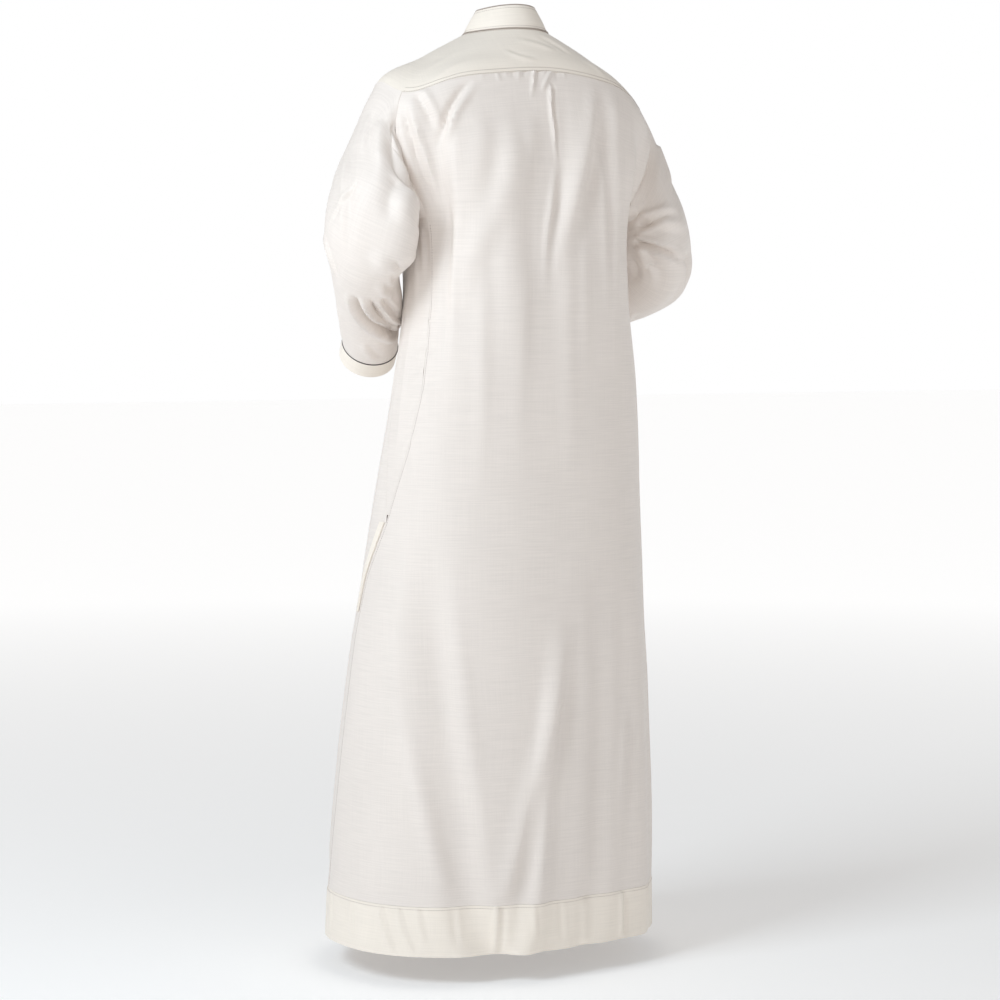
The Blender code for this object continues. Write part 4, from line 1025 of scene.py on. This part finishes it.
def collarPoint(angle, share, depth=0.0):
    base = bodyPoint(angle, neck)
    inward = unit(base * np.array([-1.0, -1.0, 0.0]))
    frontness = 0.5 - 0.5 * np.sin(np.radians(angle))
    height = mix(collar["backHeight"], collar["frontHeight"], frontness)
    lean = collar["lean"] * share ** collar["leanPower"]
    rise = np.stack([height * 0, height * 0, robe["seamGap"] + height * share], axis=-1)
    return base + rise + inward * (np.asarray(lean) + depth)[..., None]


collarEnd = math.degrees(robe["seamGap"] / collar["openRadius"])
collarAngles = np.linspace(-90 + collarEnd, 270 - collarEnd, collar["columns"])


def makeCollar():
    angle, share = np.meshgrid(collarAngles, np.array(collar["rows"]))
    points = collarPoint(angle, share)
    outward = unit(points * np.array([1.0, 1.0, 0.0]))
    lift = unevenLift(points) * 0.8 + collar["swell"] * np.sin(np.pi * share)
    points = points + outward * lift[..., None]
    return makeSheet("collarBand", points[:, ::-1], "collar", ["collar_band"])


def makeCollarTab():
    shares = np.linspace(collar["tabStart"], 1.0, collar["tabRows"])
    angle, share = np.meshgrid(np.linspace(*collar["tabAngles"], collar["tabColumns"]), shares)
    points = collarPoint(angle, share, -(robe["seamGap"] * 2 + robe["doubleCloth"]) * np.ones(angle.shape))
    return makeSheet("collarTab", points[:, ::-1], "double", ["collar_tab"])


collarPiece = makeCollar()
tabPiece = makeCollarTab()

topLine = collarPoint(collarAngles, np.ones(len(collarAngles)),
                      np.full(len(collarAngles), collar["topInset"]))
makeCord("collarTopPiping", topLine + np.array([0, 0, robe["pipingRadius"] + collar["topLift"]]),
         robe["pipingRadius"], collarPipingMaterial, ["collar_top_piping"])
baseAngles = np.linspace(*collar["baseAngles"], collar["columns"])
basePoints = bodyPoint(baseAngles, neck)
levelWay = unit(basePoints * np.array([1.0, 1.0, 0.0])) * collar["baseLevelness"]
away = unit(levelWay + bodyOutward(baseAngles, np.zeros(len(baseAngles))))
makeCord("collarBasePiping", basePoints + away * robe["pipingRadius"] * collar["baseLift"],
         robe["pipingRadius"], collarPipingMaterial, ["collar_base_piping"])
print("collar made")


# Placket and pocket
def overlaySheet(name, angle, level, lift, nodes):
    points = bodyPoint(angle, level)
    outward = bodyOutward(angle, level)
    points = addCreases(points, outward, frontPanel["creases"], bodyPoint)
    points = points + outward * (unevenLift(points) + lift + robe["doubleCloth"])[..., None]
    return makeSheet(name, points, "double", nodes)


def makePlacket():
    levels = closeAtEnds(neck, placket["end"], placket["rowStep"])
    strip = stripHalfAngle(levels)
    angle, level = panelGrid(-90 - strip, -90 + strip, levels, placket["columns"])
    return overlaySheet("placket", angle, level, placket["lift"], ["front_placket"])


placketPiece = makePlacket()

# Angles in degrees towards the front
pocket = {"start": 7.06, "end": 7.8, "inset": 1.0, "width": 3.6, "lift": 0.0005, "columns": 6,
          "rowStep": 0.03}


def makePocket():
    levels = closeAtEnds(pocket["start"], pocket["end"], pocket["rowStep"])
    edge = sideLine("front", levels) - pocket["inset"]
    angle, level = panelGrid(edge - pocket["width"], edge, levels, pocket["columns"])
    return overlaySheet("pocketWelt", angle, level, pocket["lift"], ["pocket_welt_left"])


pocketPiece = makePocket()
print("placket and pocket made")


# Stitches: sizes in metres, places in levels, degrees, metres or shares
stitch = {
    "length": 0.0030, "gap": 0.0011, "radius": 0.00028,
    "profile": [(0.0, 0.3, -1.2), (0.2, 1.0, 0.3), (0.8, 1.0, 0.3), (1.0, 0.3, -1.2)],  # along, size, lift
    # the yoke row at 1.985, beside the seam, is dark thread drawn as painted shade of the seam edge; the row
    # at 1.905 is topstitching; yokeRadius thickens both so they show
    "yokeLevels": (1.985, 1.905), "yokeAngles": (14.5, 165.5), "yokeRadius": 0.00042,
    "yokeFront": (0.1, 1.95), "yokeFrontShift": 2.2,
    "collarBaseLevel": 0.085, "collarBaseAngles": (-38, 218),
    "collarShares": (0.12, 0.90), "collarAngles": (-84, 264),
    "hemLevel": 10.03,
    "sideShift": 0.0035, "sideLevels": (4.1, 10.0),
    "placketLevels": (0.1, 5.95), "placketEnds": (5.95, 5.75), "placketEndAngles": (-96, -84),
    "cuffPlaces": (0.0040, 0.0262),
}


def onCloth(trees, point):
    # the nearest point of the finished cloth, and the way out of it
    best = None
    for tree in trees:
        place, normal, _, distance = tree.find_nearest(point)
        if place is not None and (best is None or distance < best[2]):
            best = (place, normal, distance)
    return best[0], best[1]


def addStitches(name, lines, sheets, radius=stitch["radius"]):
    # rows of small threads that dip into the cloth at both ends
    length = stitch["length"]
    pitch = length + stitch["gap"]
    trees = [clothPieces[sheetName] for sheetName in sheets]
    verts, faces = [], []
    for line in lines:
        path = np.array(line)
        steps = np.linalg.norm(np.diff(path, axis=0), axis=1)
        run = np.concatenate([[0], np.cumsum(steps)])
        for number in range(int(run[-1] / pitch)):
            ends = [number * pitch, number * pitch + length]
            start, end = (Vector([np.interp(at, run, path[:, axis]) for axis in range(3)]) for at in ends)
            start, outward = onCloth(trees, start)
            end, _ = onCloth(trees, end)
            along = end - start
            if along.length < length * 0.3:
                continue
            sideways = outward.cross(along).normalized()
            first = len(verts)
            for share, size, lift in stitch["profile"]:
                middle = start + along * share + outward * (radius * lift)
                for turn in range(5):
                    angle = turn * math.tau / 5
                    away = sideways * math.cos(angle) + outward * math.sin(angle)
                    verts.append(middle + away * radius * size)
            for ring in range(3):
                for turn in range(5):
                    beside = (turn + 1) % 5
                    a = first + ring * 5
                    faces.append((a + turn, a + 5 + turn, a + 5 + beside, a + beside))
            faces.append(tuple(first + turn for turn in range(5)))
            faces.append(tuple(first + 15 + turn for turn in reversed(range(5))))
    data = bpy.data.meshes.new(name)
    data.from_pydata([tuple(v) for v in verts], [], faces)
    piece = addObject(name, data)
    selectOnly(piece)
    bpy.ops.object.mode_set(mode="EDIT")
    bpy.ops.mesh.select_all(action="SELECT")
    bpy.ops.mesh.normals_make_consistent(inside=False)
    bpy.ops.object.mode_set(mode="OBJECT")
    bpy.ops.object.shade_smooth_by_angle(angle=math.radians(robe["smoothAngle"]))
    return finishPiece(piece, threadAndSeamShadeMaterial)


def alongLevel(level, start, end, count=260):
    angle = np.linspace(start, end, count)
    return bodyPoint(angle, np.full(count, level))


def alongSide(side, name, shift, start, end, count=160):
    # a line beside a side seam; shift in metres towards the back
    level = np.linspace(start, end, count)
    halfWidth = readColumn(bodySections, bodyColumns, "halfWidth", level)
    return bodyPoint(onSide(side, sideLine(name, level) + np.degrees(shift / halfWidth)), level)


def alongPlacket():
    level = np.linspace(*stitch["placketLevels"], 200)
    offset = stripHalfAngle(level) * (1 - placket["topStitch"] / (placket["width"] / 2))
    edges = [bodyPoint(-90 + offset, level), bodyPoint(-90 - offset, level)]
    return edges + [alongLevel(end, *stitch["placketEndAngles"], 20) for end in stitch["placketEnds"]]


def alongYokeFront(side):
    level = np.linspace(*stitch["yokeFront"], 60)
    return bodyPoint(onSide(side, yokeFrontLine(level) + stitch["yokeFrontShift"]), level)


# yoke stitches: topstitching in dark thread that also paints the shade line along the yoke seam's edge
addStitches("yokeStitchesAndSeamShade", [alongLevel(level, *stitch["yokeAngles"]) for level in stitch["yokeLevels"]],
            ["yokeCloth"], radius=stitch["yokeRadius"])
addStitches("yokeFrontStitches", [alongYokeFront(side) for side in ("left", "right")], ["yokeCloth"])
addStitches("collarBaseStitches", [alongLevel(stitch["collarBaseLevel"], *stitch["collarBaseAngles"], 200)],
            ["yokeCloth"])
addStitches("hemStitches", [alongLevel(stitch["hemLevel"], -16, 344, 500)], ["hemBand"])
addStitches("sideStitches",
            [alongSide(side, "back", stitch["sideShift"], *stitch["sideLevels"])
             for side in ("left", "right")],
            ["backPanel"])
addStitches("placketStitches", alongPlacket(), ["placket"])
for side in ("left", "right"):
    cuffTurns = np.linspace(0, 360, 120)
    addStitches("cuffStitches" + side.title(),
                [sleevePoint(side, cuffTurns, wrist, at) for at in stitch["cuffPlaces"]],
                ["cuff" + side.title()])
collarLine = np.linspace(*stitch["collarAngles"], 240)
addStitches("collarStitches",
            [collarPoint(collarLine, np.full(240, share)) for share in stitch["collarShares"]],
            ["collarBand"])
print("stitches made")


# Buttons
button = {"radius": 0.0058, "height": 0.0026, "rim": 0.0012, "dish": 0.0006, "hole": 0.0008,
          "holePitch": 0.0012, "thread": 0.0004, "lift": 0.0003, "smoothAngle": 35}


def addCylinder(vertices, radius, depth, location=(0, 0, 0), rotation=(0, 0, 0)):
    bpy.ops.object.select_all(action="DESELECT")
    bpy.ops.mesh.primitive_cylinder_add(vertices=vertices, radius=radius, depth=depth,
                                        location=location, rotation=rotation)
    return bpy.context.object


def modelButton():
    model = addCylinder(48, button["radius"], button["height"])
    model.name = "buttonModel"
    bpy.ops.object.mode_set(mode="EDIT")
    bpy.ops.mesh.select_all(action="DESELECT")
    bpy.ops.object.mode_set(mode="OBJECT")
    for face in model.data.polygons:
        face.select = face.normal.z > 0.9
    bpy.ops.object.mode_set(mode="EDIT")
    bpy.ops.mesh.select_mode(type="FACE")
    bpy.ops.mesh.inset(thickness=button["rim"])
    bpy.ops.mesh.inset(thickness=button["rim"] * 0.5)
    bpy.ops.transform.translate(value=(0, 0, -button["dish"]))
    bpy.ops.object.mode_set(mode="OBJECT")
    edge = model.modifiers.new("rounded", "BEVEL")
    edge.width = button["height"] * 0.2
    edge.segments = 3
    edge.limit_method = "ANGLE"
    edge.angle_limit = math.radians(30)
    bpy.ops.object.modifier_apply(modifier=edge.name)
    pitch = button["holePitch"]
    cutters = [addCylinder(16, button["hole"], button["height"] * 3, (x * pitch, y * pitch, 0))
               for x in (-1, 1) for y in (-1, 1)]
    for cutter in cutters:
        selectOnly(model)
        hole = model.modifiers.new("hole", "BOOLEAN")
        hole.object = cutter
        bpy.ops.object.modifier_apply(modifier=hole.name)
    for cutter in cutters:
        bpy.data.objects.remove(cutter, do_unlink=True)
    return model


def modelThread():
    pitch = button["holePitch"]
    z = button["height"] / 2 - button["dish"] + button["thread"] * 0.6
    strands = [addCylinder(12, button["thread"], pitch * 2.2, (x * pitch, y * pitch, z),
                           (0, math.radians(90), math.radians(turn)))
               for x, y, turn in ((0, 1, 0), (0, -1, 0), (1, 0, 90), (-1, 0, 90))]
    bpy.ops.object.select_all(action="DESELECT")
    for strand in strands:
        strand.select_set(True)
    bpy.context.view_layer.objects.active = strands[0]
    bpy.ops.object.join()
    bpy.ops.object.transform_apply(location=True, rotation=True, scale=True)
    return bpy.context.object


def placeCopy(model, name, place, material, nodes=()):
    piece = model.copy()
    piece.data = model.data.copy()
    piece.name = name
    piece.data.name = name
    piece.data.materials.clear()
    bpy.context.scene.collection.objects.link(piece)
    piece.data.transform(place)
    piece.matrix_world = Matrix.Identity(4)
    selectOnly(piece)
    bpy.ops.object.shade_smooth_by_angle(angle=math.radians(button["smoothAngle"]))
    return finishPiece(piece, material, nodes)


buttonModel = modelButton()
threadModel = modelThread()
for number in range(1, 6):
    low, high = (Vector(corner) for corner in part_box(f"button_{number}"))
    middle = (low + high) / 2
    tree = clothPieces["collarTab" if number == 1 else "placket"]
    surface, outward, _, _ = tree.find_nearest(middle)
    if outward.y > 0:
        outward = -outward
    turn = outward.to_track_quat("Z", "Y").to_matrix().to_4x4()
    place = Matrix.Translation(surface + outward * (button["height"] / 2 + button["lift"])) @ turn
    placeCopy(buttonModel, f"button{number}", place, buttonMaterial, [f"button_{number}"])
    placeCopy(threadModel, f"buttonThread{number}", place, threadAndSeamShadeMaterial)
for model in (buttonModel, threadModel):
    bpy.data.objects.remove(model, do_unlink=True)
print("buttons made")


# Stage, light and camera
studio = {
    "floorDrop": 0.045,          # the hem hangs clear of the floor
    "floorSize": 60.0, "floorColour": (0.93, 0.93, 0.93),
    "floorGlow": (0.28, 0.62),   # near and far; a studio sweep is lit until it is nearly white
    "glowFrom": 0.8, "glowTo": 6.0,
    "horizon": (1.0, 1.0, 1.0), "sky": (0.36, 0.355, 0.35), "skyRise": (0.125, 0.22),
    "lightAim": -0.65,
    # azimuth, elevation, distance, size, power, colour
    "key": (106.0, 33.0, 3.4, 1.3, 58.0, (0.84, 0.93, 1.0)),
    "fill": (185.0, 12.0, 4.0, 2.0, 3.0, (1.0, 0.93, 0.86)),
    "azimuth": 150.0, "distance": 4.5, "height": -0.45, "lookAt": -0.730, "sideShift": 0.0063,
    "lens": 102.5, "sensor": 36.0,
}


def makeFloor():
    bpy.ops.object.select_all(action="DESELECT")
    bpy.ops.mesh.primitive_plane_add(size=studio["floorSize"],
                                     location=(0, 0, cadBox[0][2] - studio["floorDrop"]))
    floor = bpy.context.object
    floor.name = "floor"
    material, tree, shader = makeMaterial("paleFloor", studio["floorColour"], 0.9)
    shader.inputs["Emission Color"].default_value = (1, 1, 1, 1)
    place = addNode(tree, "ShaderNodeTexCoord")
    distance = addNode(tree, "ShaderNodeVectorMath", operation="LENGTH")
    tree.links.new(place.outputs["Object"], distance.inputs[0])
    glow = addRange(tree, distance.outputs["Value"], *studio["floorGlow"],
                    studio["glowFrom"], studio["glowTo"])
    tree.links.new(glow, shader.inputs["Emission Strength"])
    floor.data.materials.append(material)


def makeWorld():
    world = bpy.data.worlds.new("studio")
    bpy.context.scene.world = world
    world.use_nodes = True
    tree = world.node_tree
    place = addNode(tree, "ShaderNodeTexCoord")
    split = addNode(tree, "ShaderNodeSeparateXYZ")
    tree.links.new(place.outputs["Generated"], split.inputs[0])
    ramp = addRamp(tree, split.outputs["Z"], studio["skyRise"], (studio["horizon"], studio["sky"]))
    tree.links.new(ramp, tree.nodes["Background"].inputs["Color"])
    tree.nodes["Background"].inputs["Strength"].default_value = 1.0


def addLight(name):
    azimuth, elevation, distance, size, power, colour = studio[name]
    light = bpy.data.lights.new(name, "AREA")
    light.size = size
    light.energy = power
    light.color = colour
    lamp = addObject(name, light)
    across, up = math.radians(azimuth), math.radians(elevation)
    away = Vector((math.sin(across) * math.cos(up), -math.cos(across) * math.cos(up), math.sin(up)))
    lamp.location = Vector((0, 0, studio["lightAim"])) + away * distance
    lamp.rotation_euler = away.to_track_quat("Z", "Y").to_euler()


def makeCamera():
    across = math.radians(studio["azimuth"])
    place = Vector((math.sin(across), -math.cos(across), 0)) * studio["distance"]
    place = place + Vector((0, 0, studio["height"]))
    look = Vector((0, 0, studio["lookAt"])) - place
    right = look.cross(Vector((0, 0, 1))).normalized()
    camera = addObject("camera", bpy.data.cameras.new("camera"))
    camera.data.lens = studio["lens"]
    camera.data.sensor_width = studio["sensor"]
    camera.location = place - right * studio["sideShift"]
    camera.rotation_euler = look.to_track_quat("-Z", "Y").to_euler()
    bpy.context.scene.camera = camera


makeFloor()
makeWorld()
addLight("key")
addLight("fill")
makeCamera()
bpy.context.scene.view_settings.view_transform = "Standard"
print("studio made")
